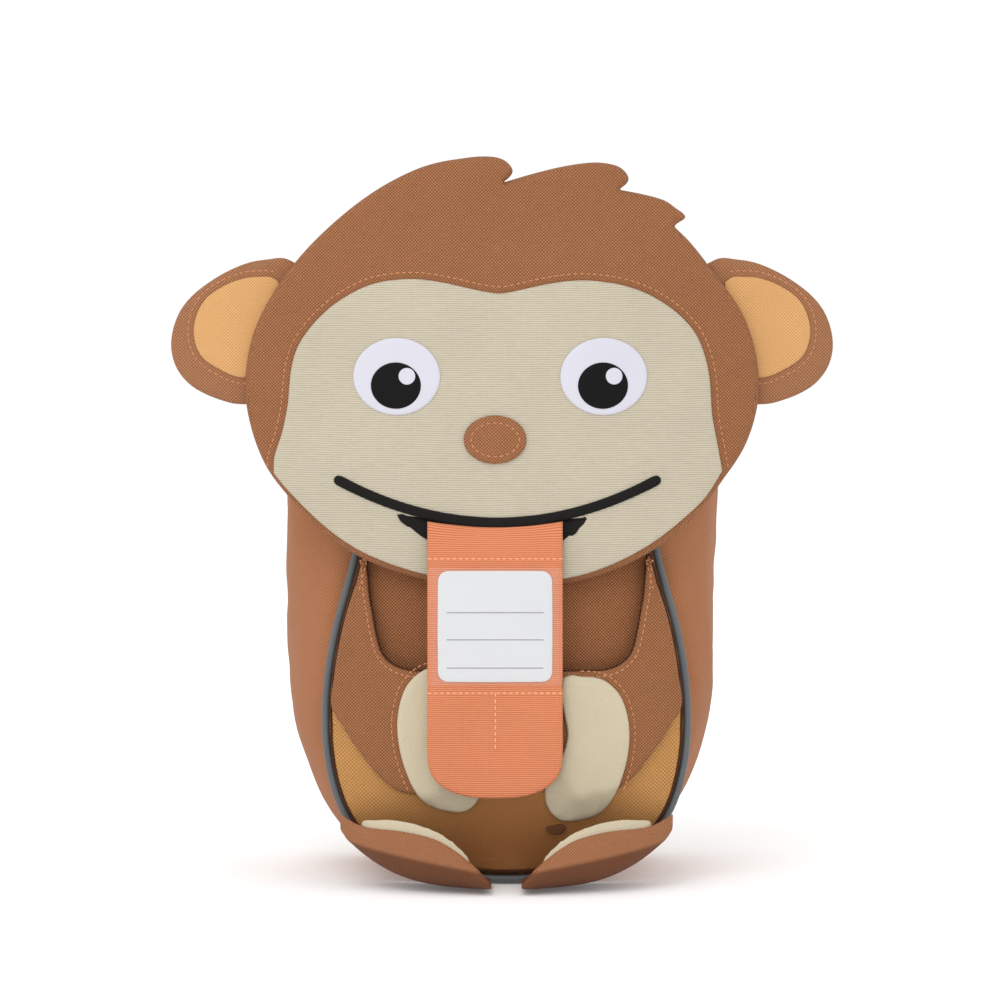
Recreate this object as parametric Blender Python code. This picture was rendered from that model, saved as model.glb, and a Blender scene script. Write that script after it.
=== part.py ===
"""Toddler's backpack in the form of a plain monkey, built as sewn and padded pieces.

Metres, +Z up. The face looks along -Y and the straps are on the +Y side.
Left and right are as seen from the front. The bag is lofted from horizontal sections, and every
flat fabric piece is a sheet that follows the surface it is sewn on.
"""

import math
from collections import namedtuple

import bmesh
import bpy
from mathutils import Vector
from mathutils.geometry import delaunay_2d_cdt

# Clearances
GAP = 0.0003
LAYER_GAP = 0.0004

# Bag body
BAG_HALF_WIDTH = 0.080
RIM_HEIGHT = 0.190
FRONT_DEPTH = 0.0565
BACK_DEPTH = 0.041
BAG_WALL = 0.0024
BACK_CORNER = 0.016
GUSSET_ROUND = 0.014
WIDEST_DEPTH = 0.004

# Front panel inside the piping, set a little to the right as sewn
PANEL_HALF_WIDTH = 0.0642
PANEL_HEIGHT = 0.120
PANEL_SHIFT = 0.0016
PANEL_WALL = 0.0015
PIPING_RADIUS = 0.0016
PIPING_TOP = 0.12
PIPING_ASIDE = 0.66
PIPING_AHEAD = 0.78
SEAM_ALLOWANCE = 0.0010
SEAM_TURN = 0.045
SEAM_SWEEP = 2.2

# Front pocket and what is sewn on it
POCKET_DEPTH = 0.006
POCKET_WALL = 0.0016
POCKET_CLOSED = 0.08
POCKET_OPENING = 0.22
ARM_WALL = 0.0015
HAND_WALL = 0.0014
ARM_SEAM = 0.0006
HAND_SLIP = 0.0050
HAND_LIFT = 0.0036

# Lid
CAP_RISE = 0.042
HEAD_HALF_WIDTH = 0.0925
HEAD_HEIGHT = 0.1541
CHIN_HEIGHT = 0.1091
HEAD_WALL = 0.0075
HEAD_WRAP = 0.008
HEAD_LEANS_AT = 0.35
EDGE_THINNING = 0.0028
THINNEST_AT = 1.4
PATCH_WIDTH = 0.034
PATCH_HEIGHT = 0.014
PATCH_WALL = 0.0018
PATCH_CENTRE = 0.1195

# Face: places are shares of HEAD_HALF_WIDTH across and of HEAD_HEIGHT up from the chin
FACE_WALL = 0.0012
FACE_MIDDLE = -0.027
EYE_ACROSS = {"left": -0.409, "right": 0.395}
EYE_UP = 0.491
PUPIL_ASIDE = -0.003
PUPIL_UP = 0.470
GLINT_ASIDE = 0.040
GLINT_UP = 0.492
NOSE_UP = 0.345
MOUTH_MIDDLE = -0.018
MOUTH_UP = 0.152
EYE_WIDTH = 0.0313
EYE_HEIGHT = 0.0277
PUPIL_WIDTH = 0.0180
PUPIL_HEIGHT = 0.0166
GLINT_WIDTH = 0.0060
PRINT_WALL = 0.0006
NOSE_WIDTH = 0.0225
NOSE_HEIGHT = 0.0173
NOSE_WALL = 0.0012
MOUTH_HALF_SPAN = 0.0571
MOUTH_SAG = 0.0148
MOUTH_BAND = 0.0036
MOUTH_WALL = 0.0009

# Ears
EAR_ROOT = 0.80
EAR_UP = 0.588
EAR_REACH = 0.0457
EAR_HALF_HEIGHT = 0.0263
EAR_WALL = 0.0040
EAR_INNER_WALL = 0.0010

# Tongue name tag
TONGUE_HALF_WIDTH = 0.0243
TONGUE_DROP = 0.0975
TONGUE_WALL = 0.0016
TONGUE_ROUND = 0.016
TONGUE_SQUARE = 0.8
TONGUE_SET_IN = 0.0024
TONGUE_EXIT = 0.60
TONGUE_HANG = 0.011
CARD_WIDTH = 0.0410
CARD_HEIGHT = 0.0396
CARD_WALL = 0.0006
CARD_ROUND = 0.0036
CARD_DROP = 0.0355
WINDOW_HEIGHT = 0.0421
WINDOW_WALL = 0.0005

# Feet
FOOT_SPAN = 0.0615
FOOT_REACH = 0.0360
FOOT_HEIGHT = 0.0276
FOOT_WALL = 0.0022
FELT_WALL = 0.0020
FELT_FROM = 0.16
FELT_SPAN = 0.70
FELT_PROUD = 0.12

# Back and straps
BACK_PAD = 0.0060
BACK_PAD_HALF_WIDTH = 0.056
BACK_PAD_FOOT = 0.026
BACK_PAD_ROUND = 0.018
STRAP_WIDTH = 0.028
STRAP_WALL = 0.0042
STRAP_ROUND = 0.28
BAND_FLAT = 0.3
STRAP_ARCH = 0.0130
STRAP_TOP = 0.026
STRAP_SPREAD = 0.020
STRAP_END = 0.082
WEB_WIDTH = 0.016
WEB_WALL = 0.0012
WEB_SPREAD = 0.006
WEB_TAB = 0.010
BUCKLE_WIDTH = 0.023
BUCKLE_HEIGHT = 0.017
BUCKLE_WALL = 0.0026
BUCKLE_BAR = 0.0028
LOOP_HALF_SPAN = 0.024
LOOP_RISE = 0.017
LOOP_WIDTH = 0.012
LOOP_WALL = 0.0018
LOOP_TAB = 0.011
LOOP_SETBACK = 0.008

# Mesh fineness
HEAD_GRID = 0.0140
BODY_GRID = 0.0110
EDGE_SHARE = 1.1
SPOT_MARGIN = 0.45
SHARP_DEGREES = 40
TUBE_SIDES = 8
DOME_STEPS = 4
GUSSET_STEPS = 4
CORNER_STEPS = 3
STRAP_STEPS = 13
SEAM_STEPS = 13
UNDER_STEPS = 7
EDGE_BUNCHING = 1.3
FOOT_STEPS = 11
FELT_STEPS = 9
FELT_FIRST = 6
MOUTH_STEPS = 18
TONGUE_STEPS = 12
ROUND_STEPS = 24

# Sections of the bag: height as a share of RIM_HEIGHT, width of BAG_HALF_WIDTH, crease of
# PANEL_HALF_WIDTH, edge and crown of FRONT_DEPTH, back of BACK_DEPTH
Section = namedtuple("Section", "height width crease edge crown back")
BODY = [
    Section(0.000, 0.450, 0.31, 0.800, 0.860, 0.80),
    Section(0.016, 0.540, 0.47, 0.808, 0.872, 0.87),
    Section(0.040, 0.620, 0.62, 0.820, 0.891, 0.92),
    Section(0.070, 0.695, 0.73, 0.835, 0.915, 0.95),
    Section(0.116, 0.790, 0.86, 0.850, 0.945, 0.98),
    Section(0.179, 0.863, 0.945, 0.857, 0.975, 1.00),
    Section(0.253, 0.928, 0.990, 0.857, 0.993, 1.00),
    Section(0.326, 0.962, 1.000, 0.850, 1.000, 1.00),
    Section(0.411, 0.971, 0.980, 0.835, 0.995, 1.00),
    Section(0.500, 0.975, 0.930, 0.815, 0.980, 1.00),
    Section(0.605, 0.981, 0.840, 0.790, 0.958, 1.00),
    Section(0.737, 0.995, 0.760, 0.750, 0.935, 1.00),
    Section(0.868, 1.000, 0.720, 0.710, 0.918, 1.00),
    Section(1.000, 0.990, 0.700, 0.680, 0.906, 0.99),
]

# Sections of the lid's cap: rise as a share of CAP_RISE, spread and depth of the bag's rim
Cap = namedtuple("Cap", "rise spread depth")
CAP = [
    Cap(0.00, 1.00, 1.00),
    Cap(0.30, 0.995, 1.00),
    Cap(0.58, 0.955, 0.97),
    Cap(0.80, 0.875, 0.90),
    Cap(0.94, 0.760, 0.79),
    Cap(1.00, 0.580, 0.62),
]

# Outlines: across and up as shares of the named sizes, and whether the outline turns a corner there
Mark = namedtuple("Mark", "across up corner", defaults=(False,))

# Head: shares of HEAD_HALF_WIDTH from its centre line and of HEAD_HEIGHT from the chin
HEAD = [
    Mark(-0.027, 0.000), Mark(0.230, 0.005), Mark(0.405, 0.030), Mark(0.584, 0.081),
    Mark(0.739, 0.153), Mark(0.868, 0.251), Mark(0.949, 0.326), Mark(0.998, 0.426),
    Mark(0.992, 0.530), Mark(0.934, 0.635), Mark(0.817, 0.735), Mark(0.732, 0.800),
    Mark(0.669, 0.837, True), Mark(0.716, 0.858, True), Mark(0.630, 0.898),
    Mark(0.455, 0.923, True), Mark(0.494, 0.947), Mark(0.444, 0.979), Mark(0.323, 0.985),
    Mark(0.148, 0.965), Mark(0.004, 0.940, True), Mark(0.043, 0.967), Mark(-0.016, 0.998),
    Mark(-0.156, 0.996), Mark(-0.319, 0.974), Mark(-0.514, 0.912), Mark(-0.708, 0.816),
    Mark(-0.852, 0.716), Mark(-0.957, 0.605), Mark(-0.998, 0.502), Mark(-0.992, 0.402),
    Mark(-0.934, 0.293), Mark(-0.860, 0.226), Mark(-0.716, 0.137), Mark(-0.545, 0.065),
    Mark(-0.292, 0.014),
]

# Face patch: shares as for the head
FACE = [
    Mark(-0.888, 0.262, True), Mark(-0.838, 0.226), Mark(-0.700, 0.145), Mark(-0.540, 0.080),
    Mark(-0.292, 0.029), Mark(-0.027, 0.014), Mark(0.230, 0.019), Mark(0.402, 0.046),
    Mark(0.577, 0.099), Mark(0.718, 0.164), Mark(0.798, 0.212), Mark(0.857, 0.268, True),
    Mark(0.840, 0.326), Mark(0.817, 0.402), Mark(0.805, 0.495), Mark(0.755, 0.586),
    Mark(0.646, 0.653), Mark(0.494, 0.698), Mark(0.300, 0.714), Mark(0.128, 0.700),
    Mark(-0.008, 0.684), Mark(-0.144, 0.698), Mark(-0.311, 0.716), Mark(-0.502, 0.705),
    Mark(-0.673, 0.647), Mark(-0.786, 0.567), Mark(-0.821, 0.502), Mark(-0.833, 0.426),
    Mark(-0.858, 0.353), Mark(-0.886, 0.300),
]

# Mouth slot under the band: shares as for the head
SLOT = [
    Mark(-0.397, 0.163, True), Mark(-0.296, 0.114), Mark(-0.183, 0.095), Mark(-0.027, 0.091),
    Mark(0.128, 0.095), Mark(0.230, 0.109), Mark(0.323, 0.159, True), Mark(0.148, 0.149),
    Mark(-0.019, 0.145), Mark(-0.202, 0.151),
]

# Ear: across as a share of EAR_REACH from its root, up as a share of EAR_HALF_HEIGHT
EAR = [
    Mark(0.000, 0.932), Mark(0.240, 0.986), Mark(0.463, 0.890), Mark(0.727, 0.630),
    Mark(0.917, 0.301), Mark(1.000, -0.137), Mark(0.959, -0.507), Mark(0.818, -0.781),
    Mark(0.579, -0.959), Mark(0.413, -1.000), Mark(0.198, -0.918), Mark(0.091, -0.342),
    Mark(0.033, 0.342),
]
EAR_INNER = [
    Mark(0.140, 0.685), Mark(0.298, 0.753), Mark(0.455, 0.712), Mark(0.612, 0.589),
    Mark(0.744, 0.397), Mark(0.818, 0.041), Mark(0.769, -0.315), Mark(0.612, -0.521),
    Mark(0.421, -0.630), Mark(0.281, -0.507), Mark(0.174, 0.068),
]

# Arm and pocket: across as a share of PANEL_HALF_WIDTH, up as a share of PANEL_HEIGHT
SCOOP = [
    Mark(0.792, 0.994), Mark(0.772, 0.874), Mark(0.738, 0.774), Mark(0.704, 0.709),
    Mark(0.642, 0.674), Mark(0.545, 0.657), Mark(0.400, 0.657),
]
ARM_HEM = [Mark(0.869, 0.440), Mark(0.740, 0.350), Mark(0.620, 0.296), Mark(0.400, 0.270)]
ARM_TURN = 0.539
ARM_INNER = [Mark(0.150, 0.440)]
HAND = [
    Mark(0.314, 0.639), Mark(0.320, 0.539), Mark(0.342, 0.467), Mark(0.303, 0.395),
    Mark(0.224, 0.319), Mark(0.224, 0.256), Mark(0.297, 0.205), Mark(0.409, 0.202),
    Mark(0.538, 0.229), Mark(0.639, 0.319), Mark(0.690, 0.452), Mark(0.650, 0.569),
    Mark(0.544, 0.630), Mark(0.421, 0.642),
]

# Foot, from its outer corner to its tip: across as a share of FOOT_SPAN; the sole, fold and rim lie
# out from the piping as shares of FOOT_REACH and up as shares of FOOT_HEIGHT
Foot = namedtuple("Foot", "across root_up sole_out sole_up fold_out fold_up rim_out rim_up")
FOOT = [
    Foot(1.000, 0.92, 0.10, 0.74, 0.16, 0.88, 0.13, 1.00),
    Foot(0.872, 0.60, 0.31, 0.46, 0.48, 0.60, 0.42, 0.84),
    Foot(0.709, 0.33, 0.44, 0.23, 0.72, 0.50, 0.64, 0.86),
    Foot(0.545, 0.19, 0.54, 0.09, 0.86, 0.42, 0.75, 0.83),
    Foot(0.351, 0.09, 0.62, 0.03, 0.97, 0.37, 0.81, 0.71),
    Foot(0.198, 0.07, 0.68, 0.02, 1.00, 0.28, 0.86, 0.46),
    Foot(0.066, 0.06, 0.78, 0.02, 1.01, 0.07, 0.93, 0.12),
]
FOOT_CLEAR_OF_FLOOR = 0.0002

# Shoulder strap: down from the top to its end, and out from the back pad, as shares of STRAP_ARCH
Strap = namedtuple("Strap", "down out spread")
STRAP = [
    Strap(0.00, 0.00, 0.00), Strap(0.10, 0.02, 0.02), Strap(0.24, 0.46, 0.06),
    Strap(0.42, 0.88, 0.17), Strap(0.62, 1.00, 0.40), Strap(0.82, 0.82, 0.72),
    Strap(1.00, 0.50, 1.00),
]

# Grab loop's arch, from its foot to its flat middle: shares of LOOP_HALF_SPAN and LOOP_RISE
LOOP = [(1.0, 0.0), (0.93, 0.30), (0.84, 0.72), (0.60, 1.0)]


def clear_scene():
    """Remove whatever the file holds."""
    for thing in list(bpy.data.objects):
        bpy.data.objects.remove(thing, do_unlink=True)


def linear(channel):
    """Turn an sRGB channel to linear light."""
    if channel <= 0.04045:
        return channel / 12.92
    return ((channel + 0.055) / 1.055) ** 2.4


def fabric(name, colour, roughness):
    """Make a Principled material from an sRGB hex colour."""
    material = bpy.data.materials.new(name)
    material.use_nodes = True
    shader = material.node_tree.nodes["Principled BSDF"]
    channels = [linear(int(colour[i:i + 2], 16) / 255) for i in (0, 2, 4)]
    shader.inputs["Base Color"].default_value = (*channels, 1.0)
    shader.inputs["Roughness"].default_value = roughness
    shader.inputs["Metallic"].default_value = 0.0
    return material


def add_piece(name, points, faces, material):
    """Make one object from points and faces, with its faces pointing out."""
    mesh = bpy.data.meshes.new(name)
    mesh.from_pydata(points, [], faces)
    shape = bmesh.new()
    shape.from_mesh(mesh)
    bmesh.ops.recalc_face_normals(shape, faces=shape.faces)
    shape.to_mesh(mesh)
    shape.free()
    mesh.shade_smooth()
    mesh.set_sharp_from_angle(angle=math.radians(SHARP_DEGREES))
    mesh.materials.append(material)
    piece = bpy.data.objects.new(name, mesh)
    bpy.context.collection.objects.link(piece)
    return piece


def thicken(piece, wall):
    """Give an open surface its wall, inwards."""
    solidify = piece.modifiers.new("wall", "SOLIDIFY")
    solidify.thickness = wall
    solidify.offset = -1.0
    solidify.use_even_offset = True
    solidify.use_rim = True


def follow(rows, key, column, value):
    """Read a table's column at a value of its key, along a smooth curve through the rows."""
    keys = [getattr(row, key) for row in rows]
    reads = [getattr(row, column) for row in rows]
    last = len(rows) - 1
    value = min(max(value, keys[0]), keys[-1])
    i = 0
    while i < last - 1 and value > keys[i + 1]:
        i += 1
    slopes = []
    for k in (i, i + 1):
        low, high = max(k - 1, 0), min(k + 1, last)
        slopes.append((reads[high] - reads[low]) / (keys[high] - keys[low]))
    span = keys[i + 1] - keys[i]
    t = (value - keys[i]) / span
    return (
        (2 * t ** 3 - 3 * t ** 2 + 1) * reads[i]
        + (t ** 3 - 2 * t ** 2 + t) * span * slopes[0]
        + (3 * t ** 2 - 2 * t ** 3) * reads[i + 1]
        + (t ** 3 - t ** 2) * span * slopes[1]
    )


def smooth_outline(marks, steps):
    """Round a closed outline of (across, up, corner) points through its marks."""
    count = len(marks)
    spots = [Vector(mark[:2]) for mark in marks]
    rounded = []
    for i in range(count):
        before, here, after = spots[i - 1], spots[i], spots[(i + 1) % count]
        beyond = spots[(i + 2) % count]
        chord = after - here
        lead = chord if marks[i][2] else (after - before).normalized() * chord.length
        tail = chord if marks[(i + 1) % count][2] else (beyond - here).normalized() * chord.length
        for k in range(steps):
            t = k / steps
            spot = (
                (2 * t ** 3 - 3 * t ** 2 + 1) * here
                + (t ** 3 - 2 * t ** 2 + t) * lead
                + (3 * t ** 2 - 2 * t ** 3) * after
                + (t ** 3 - t ** 2) * tail
            )
            rounded.append((spot.x, spot.y))
    return rounded


def inside(x, z, outline):
    """Say whether a point of the front view lies inside an outline."""
    hit = False
    for (x0, z0), (x1, z1) in zip(outline, outline[1:] + outline[:1]):
        if (z0 > z) != (z1 > z) and x < (x1 - x0) * (z - z0) / (z1 - z0) + x0:
            hit = not hit
    return hit


def edge_distance(x, z, outline):
    """Distance from a point of the front view to an outline."""
    spot = Vector((x, z))
    nearest = math.inf
    for a, b in zip(outline, outline[1:] + outline[:1]):
        start, run = Vector(a), Vector(b) - Vector(a)
        share = min(max((spot - start).dot(run) / run.length_squared, 0.0), 1.0)
        nearest = min(nearest, (start + run * share - spot).length)
    return nearest


def divided(outline, longest):
    """Split an outline's edges so that none is longer than given."""
    fine = []
    for a, b in zip(outline, outline[1:] + outline[:1]):
        start, run = Vector(a), Vector(b) - Vector(a)
        pieces = max(1, math.ceil(run.length / longest))
        fine += [tuple(start + run * i / pieces) for i in range(pieces)]
    return fine


def sheet(name, outline, near, wall, grid, material, hole=None):
    """Make a fabric sheet of the given front-view outline.

    near(x, z) is the y of the face that lies on what carries the sheet, and wall its thickness
    towards -Y, or towards +Y where negative. It may be a function of x and z.
    """
    thick = wall if callable(wall) else (lambda x, z: wall)
    outline = divided(outline, EDGE_SHARE * grid)
    loops = [outline] + ([hole] if hole else [])
    spots, edges = [], []
    for loop in loops:
        first = len(spots)
        spots += [Vector(point) for point in loop]
        edges += [(first + i, first + (i + 1) % len(loop)) for i in range(len(loop))]
    x_low, x_high = min(p[0] for p in outline), max(p[0] for p in outline)
    z_low, z_high = min(p[1] for p in outline), max(p[1] for p in outline)
    for j in range(math.floor(z_low / grid), math.ceil(z_high / grid) + 1):
        for i in range(math.floor(x_low / grid) - 1, math.ceil(x_high / grid) + 1):
            x, z = (i + 0.5 * (j % 2)) * grid, j * grid
            if not inside(x, z, outline) or edge_distance(x, z, outline) < SPOT_MARGIN * grid:
                continue
            if hole and (inside(x, z, hole) or edge_distance(x, z, hole) < SPOT_MARGIN * grid):
                continue
            spots.append(Vector((x, z)))
    flat, _, cells, _, _, _ = delaunay_2d_cdt(spots, edges, [], 1, 1e-7)
    kept = []
    for cell in cells:
        x = sum(flat[i].x for i in cell) / len(cell)
        z = sum(flat[i].y for i in cell) / len(cell)
        if inside(x, z, outline) and not (hole and inside(x, z, hole)):
            kept.append(list(cell))
    sides = {}
    for cell in kept:
        for a, b in zip(cell, cell[1:] + cell[:1]):
            sides[(a, b)] = True
    rim = [(a, b) for a, b in sides if (b, a) not in sides]
    count = len(flat)
    points = [(p.x, near(p.x, p.y), p.y) for p in flat]
    points += [(p.x, near(p.x, p.y) - thick(p.x, p.y), p.y) for p in flat]
    faces = [cell[::-1] for cell in kept] + [[i + count for i in cell] for cell in kept]
    faces += [[a, b, b + count, a + count] for a, b in rim]
    return add_piece(name, points, faces, material)


def grid_solid(name, inner, outer, material):
    """Make a closed solid between two grids of points that match row by row."""
    rows, columns = len(inner), len(inner[0])
    count = rows * columns
    points = [spot for row in inner for spot in row] + [spot for row in outer for spot in row]
    faces = []
    for r in range(rows - 1):
        for c in range(columns - 1):
            a = r * columns + c
            for cell in ([a, a + 1, a + columns + 1], [a, a + columns + 1, a + columns]):
                faces.append(cell)
                faces.append([i + count for i in reversed(cell)])
    ring = [c for c in range(columns)]
    ring += [r * columns + columns - 1 for r in range(1, rows)]
    ring += [(rows - 1) * columns + c for c in range(columns - 2, -1, -1)]
    ring += [r * columns for r in range(rows - 2, 0, -1)]
    for a, b in zip(ring, ring[1:] + ring[:1]):
        faces.append([a, a + count, b + count])
        faces.append([a, b + count, b])
    return add_piece(name, points, faces, material)


def ellipse(centre_x, centre_z, width, height, steps):
    """Front-view outline of an ellipse."""
    turns = [2 * math.pi * i / steps for i in range(steps)]
    return [
        (centre_x + width / 2 * math.cos(turn), centre_z + height / 2 * math.sin(turn))
        for turn in turns
    ]


def rounded_rectangle(x_low, x_high, z_low, z_high, corner, steps):
    """Front-view outline of a rectangle with round corners."""
    outline = []
    centres = [
        (x_high - corner, z_high - corner, 0), (x_low + corner, z_high - corner, 1),
        (x_low + corner, z_low + corner, 2), (x_high - corner, z_low + corner, 3),
    ]
    for x, z, quarter in centres:
        for i in range(steps + 1):
            turn = math.pi / 2 * (quarter + i / steps)
            outline.append((x + corner * math.cos(turn), z + corner * math.sin(turn)))
    return outline


def body(column, z):
    """One of the bag section's real sizes at height z."""
    scale = {
        "width": BAG_HALF_WIDTH, "crease": PANEL_HALF_WIDTH, "edge": FRONT_DEPTH,
        "crown": FRONT_DEPTH, "back": BACK_DEPTH,
    }[column]
    return scale * follow(BODY, "height", column, z / RIM_HEIGHT)


def front_y(x, z):
    """The bag's domed front between the two seams."""
    crease, edge, crown = body("crease", z), body("edge", z), body("crown", z)
    share = min(abs(x - PANEL_SHIFT) / crease, 1.0)
    return -(edge + (crown - edge) * (1 - share ** 2))


def half_section(side, z):
    """Right (side 1) or left (side -1) half of the bag's section, from front to back."""
    width, crease, edge = body("width", z), body("crease", z), body("edge", z)
    back = body("back", z)
    corner = min(BACK_CORNER, width / 2, (back - WIDEST_DEPTH) / 2)
    half = []
    for i in range(DOME_STEPS):
        x = PANEL_SHIFT + side * crease * i / DOME_STEPS
        half.append((x, front_y(x, z)))
    seam_x = PANEL_SHIFT + side * crease
    for i in range(GUSSET_STEPS + 1):
        t = i / GUSSET_STEPS
        x = (1 - t) ** 2 * seam_x + (2 * t * (1 - t) + t ** 2) * side * width
        y = -((1 - t) ** 2 * edge + 2 * t * (1 - t) * (edge - GUSSET_ROUND) + t ** 2 * WIDEST_DEPTH)
        half.append((x, y))
    for i in range(CORNER_STEPS + 1):
        turn = math.pi / 2 * i / CORNER_STEPS
        x = side * (width - corner + corner * math.cos(turn))
        half.append((x, back - corner + corner * math.sin(turn)))
    half.append((0.0, back))
    return half


def full_section(z):
    """The bag's whole section as a closed loop."""
    right, left = half_section(1, z), half_section(-1, z)
    return right + left[-2:0:-1]


def loft(name, loops, closed_end, material):
    """Join closed loops of points to an open tube with one end closed."""
    count = len(loops[0])
    points = [spot for loop in loops for spot in loop]
    faces = []
    for r in range(len(loops) - 1):
        for c in range(count):
            a, b = r * count + c, r * count + (c + 1) % count
            faces.append([a, b, b + count, a + count])
    first = closed_end * count
    faces.append([first + c for c in range(count)])
    return add_piece(name, points, faces, material)


def make_bag_shell():
    """The hollow bag: base, gusset, front wall and back wall, open at the top."""
    heights = []
    for low, high in zip(BODY, BODY[1:]):
        heights.append(low.height)
        if high.height - low.height > 0.08:
            heights.append((low.height + high.height) / 2)
    heights.append(BODY[-1].height)
    loops = [[(x, y, share * RIM_HEIGHT) for x, y in full_section(share * RIM_HEIGHT)]
             for share in heights]
    shell = loft("bag_shell", loops, 0, fabric("gusset cloth", "ae7959", 0.85))
    thicken(shell, BAG_WALL)
    return shell


def cap_base():
    """Height of the cap's lower edge, on the bag's rim."""
    return RIM_HEIGHT + LAYER_GAP


def make_lid_roof():
    """The cap that closes the bag's mouth, in the same section as the rim."""
    rim = full_section(RIM_HEIGHT)
    middle = (body("back", RIM_HEIGHT) - body("crown", RIM_HEIGHT)) / 2
    loops = []
    for row in CAP:
        z = cap_base() + row.rise * CAP_RISE
        loops.append([(x * row.spread, middle + (y - middle) * row.depth, z) for x, y in rim])
    roof = loft("lid_roof", loops, len(CAP) - 1, fabric("lid cloth", "ae7959", 0.85))
    thicken(roof, BAG_WALL)
    return roof


def panel_y(x, z):
    """Front face of the canvas front panel."""
    return front_y(x, z) - LAYER_GAP - PANEL_WALL


def seam_normal(z):
    """Way out of the seam in the front view, on the right side, at height z."""
    step = 0.01 * RIM_HEIGHT
    slope = (body("crease", z + step) - body("crease", z - step)) / (2 * step)
    return Vector((1.0, -slope)).normalized()


def panel_edge(z):
    """Half width of what is sewn inside the piping at height z."""
    return body("crease", z) - SEAM_ALLOWANCE / seam_normal(z).x


def seam_turn():
    """Height where the seam leaves the sides and runs across under the front."""
    return SEAM_TURN * RIM_HEIGHT


def seam_low(share):
    """Height of the piping under the front, from its middle (0) to the turn (1)."""
    low = PIPING_RADIUS + GAP
    return low + (seam_turn() - low) * share ** SEAM_SWEEP


def panel_outline(top, inset):
    """Outline of a piece that fills the front inside the piping, clear of it by the inset."""
    steps = 9
    foot = seam_turn() + 2 * PIPING_RADIUS + 2 * inset
    heights = [foot + (top - foot) * (i / steps) ** EDGE_BUNCHING for i in range(steps + 1)]
    right = [(PANEL_SHIFT + panel_edge(z), z) for z in heights]
    left = [(PANEL_SHIFT - panel_edge(z), z) for z in reversed(heights)]
    half = body("crease", seam_turn())
    bottom = [(PANEL_SHIFT + half * share, seam_low(abs(share)) + PIPING_RADIUS + inset)
              for share in (-0.82, -0.62, -0.4, -0.2, 0.0, 0.2, 0.4, 0.62, 0.82)]
    return right + left + bottom


def make_front_panel():
    """The canvas front behind the pocket, up to just under the mouth slot."""
    top = CHIN_HEIGHT + SLOT[3].up * HEAD_HEIGHT
    outline = panel_outline(top, 3 * LAYER_GAP)
    near = lambda x, z: front_y(x, z) - LAYER_GAP
    return sheet("front_panel", outline, near, PANEL_WALL, BODY_GRID,
                 fabric("front canvas", "8a5d40", 0.9))


def pocket_room(x, z):
    """Depth of the space in the front pocket."""
    share = min(abs(x - PANEL_SHIFT) / body("crease", z), 1.0)
    rise = min(max((z / PANEL_HEIGHT - POCKET_CLOSED) / POCKET_OPENING, 0.0), 1.0)
    return LAYER_GAP + POCKET_DEPTH * (1 - share ** 2) * rise * rise * (3 - 2 * rise)


def pocket_y(x, z):
    """Front face of the pocket."""
    return panel_y(x, z) - pocket_room(x, z) - POCKET_WALL


def arm_y(x, z):
    """Front face of the arms."""
    return pocket_y(x, z) - LAYER_GAP - ARM_WALL


def place(mark, side, slip=0.0, lift=0.0):
    """Front-view place of a mark on the pocket, on the side 1 (right) or -1 (left)."""
    x = PANEL_SHIFT + side * (mark.across * PANEL_HALF_WIDTH - slip)
    return (x, mark.up * PANEL_HEIGHT + lift, mark.corner)


def scoop_inset(mark, side, inset):
    """A mark of the pocket's mouth, set a little below and outside the arm's own edge."""
    x, z, corner = place(mark, side)
    return (x + side * inset, z - inset, corner)


def make_pocket_belly():
    """The front pocket: tan cloth that the arms are sewn on, open at its scooped mouth."""
    inset = 2 * GAP
    top = SCOOP[0].up * PANEL_HEIGHT - inset
    sides = panel_outline(top, 4 * LAYER_GAP)
    right_side = [spot for spot in sides if spot[0] > PANEL_SHIFT and spot[1] > seam_turn()]
    split = sides.index(max(right_side, key=lambda spot: spot[1])) + 1
    mouth_left = [scoop_inset(mark, -1, inset)[:2] for mark in SCOOP]
    mouth_right = [scoop_inset(mark, 1, inset)[:2] for mark in SCOOP]
    outline = sides[:split] + mouth_right + mouth_left[::-1] + sides[split:]
    near = lambda x, z: panel_y(x, z) - pocket_room(x, z)
    return sheet("pocket_belly", outline, near, POCKET_WALL, BODY_GRID,
                 fabric("belly cloth", "b98756", 0.85))


def make_arm(name, side):
    """One arm: brown canvas from the piping to the seam in the middle."""
    top, turn = SCOOP[0].up * PANEL_HEIGHT, ARM_TURN * PANEL_HEIGHT
    steps = 5
    heights = [turn + (top - turn) * i / steps for i in range(steps + 1)]
    outline = [(PANEL_SHIFT + side * panel_edge(z), z) for z in heights]
    outline += [place(mark, side)[:2] for mark in SCOOP]
    seam_x = PANEL_SHIFT + side * ARM_SEAM / 2
    outline.append((seam_x, SCOOP[-1].up * PANEL_HEIGHT))
    outline.append((seam_x, turn * 0.95))
    outline += [place(mark, side)[:2] for mark in ARM_INNER]
    outline += [place(mark, side)[:2] for mark in reversed(ARM_HEM)]
    near = lambda x, z: pocket_y(x, z) - LAYER_GAP
    return sheet(name, outline, near, ARM_WALL, BODY_GRID, fabric("arm canvas", "a06a49", 0.9))


def make_hand(name, side, slip, lift):
    """One felt hand on the end of an arm."""
    outline = smooth_outline([place(mark, side, slip, lift) for mark in HAND], 2)
    near = lambda x, z: arm_y(x, z) - LAYER_GAP
    return sheet(name, outline, near, HAND_WALL, BODY_GRID, fabric("hand felt", "cabfa6", 0.95))


def seam_point(side, z):
    """Centre of the piping beside the seam at height z."""
    out = PIPING_RADIUS + LAYER_GAP
    away = seam_normal(z) * PIPING_ASIDE * out
    x = PANEL_SHIFT + side * (body("crease", z) + away.x)
    return Vector((x, -(body("edge", z) + PIPING_AHEAD * out), z + away.y))


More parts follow.
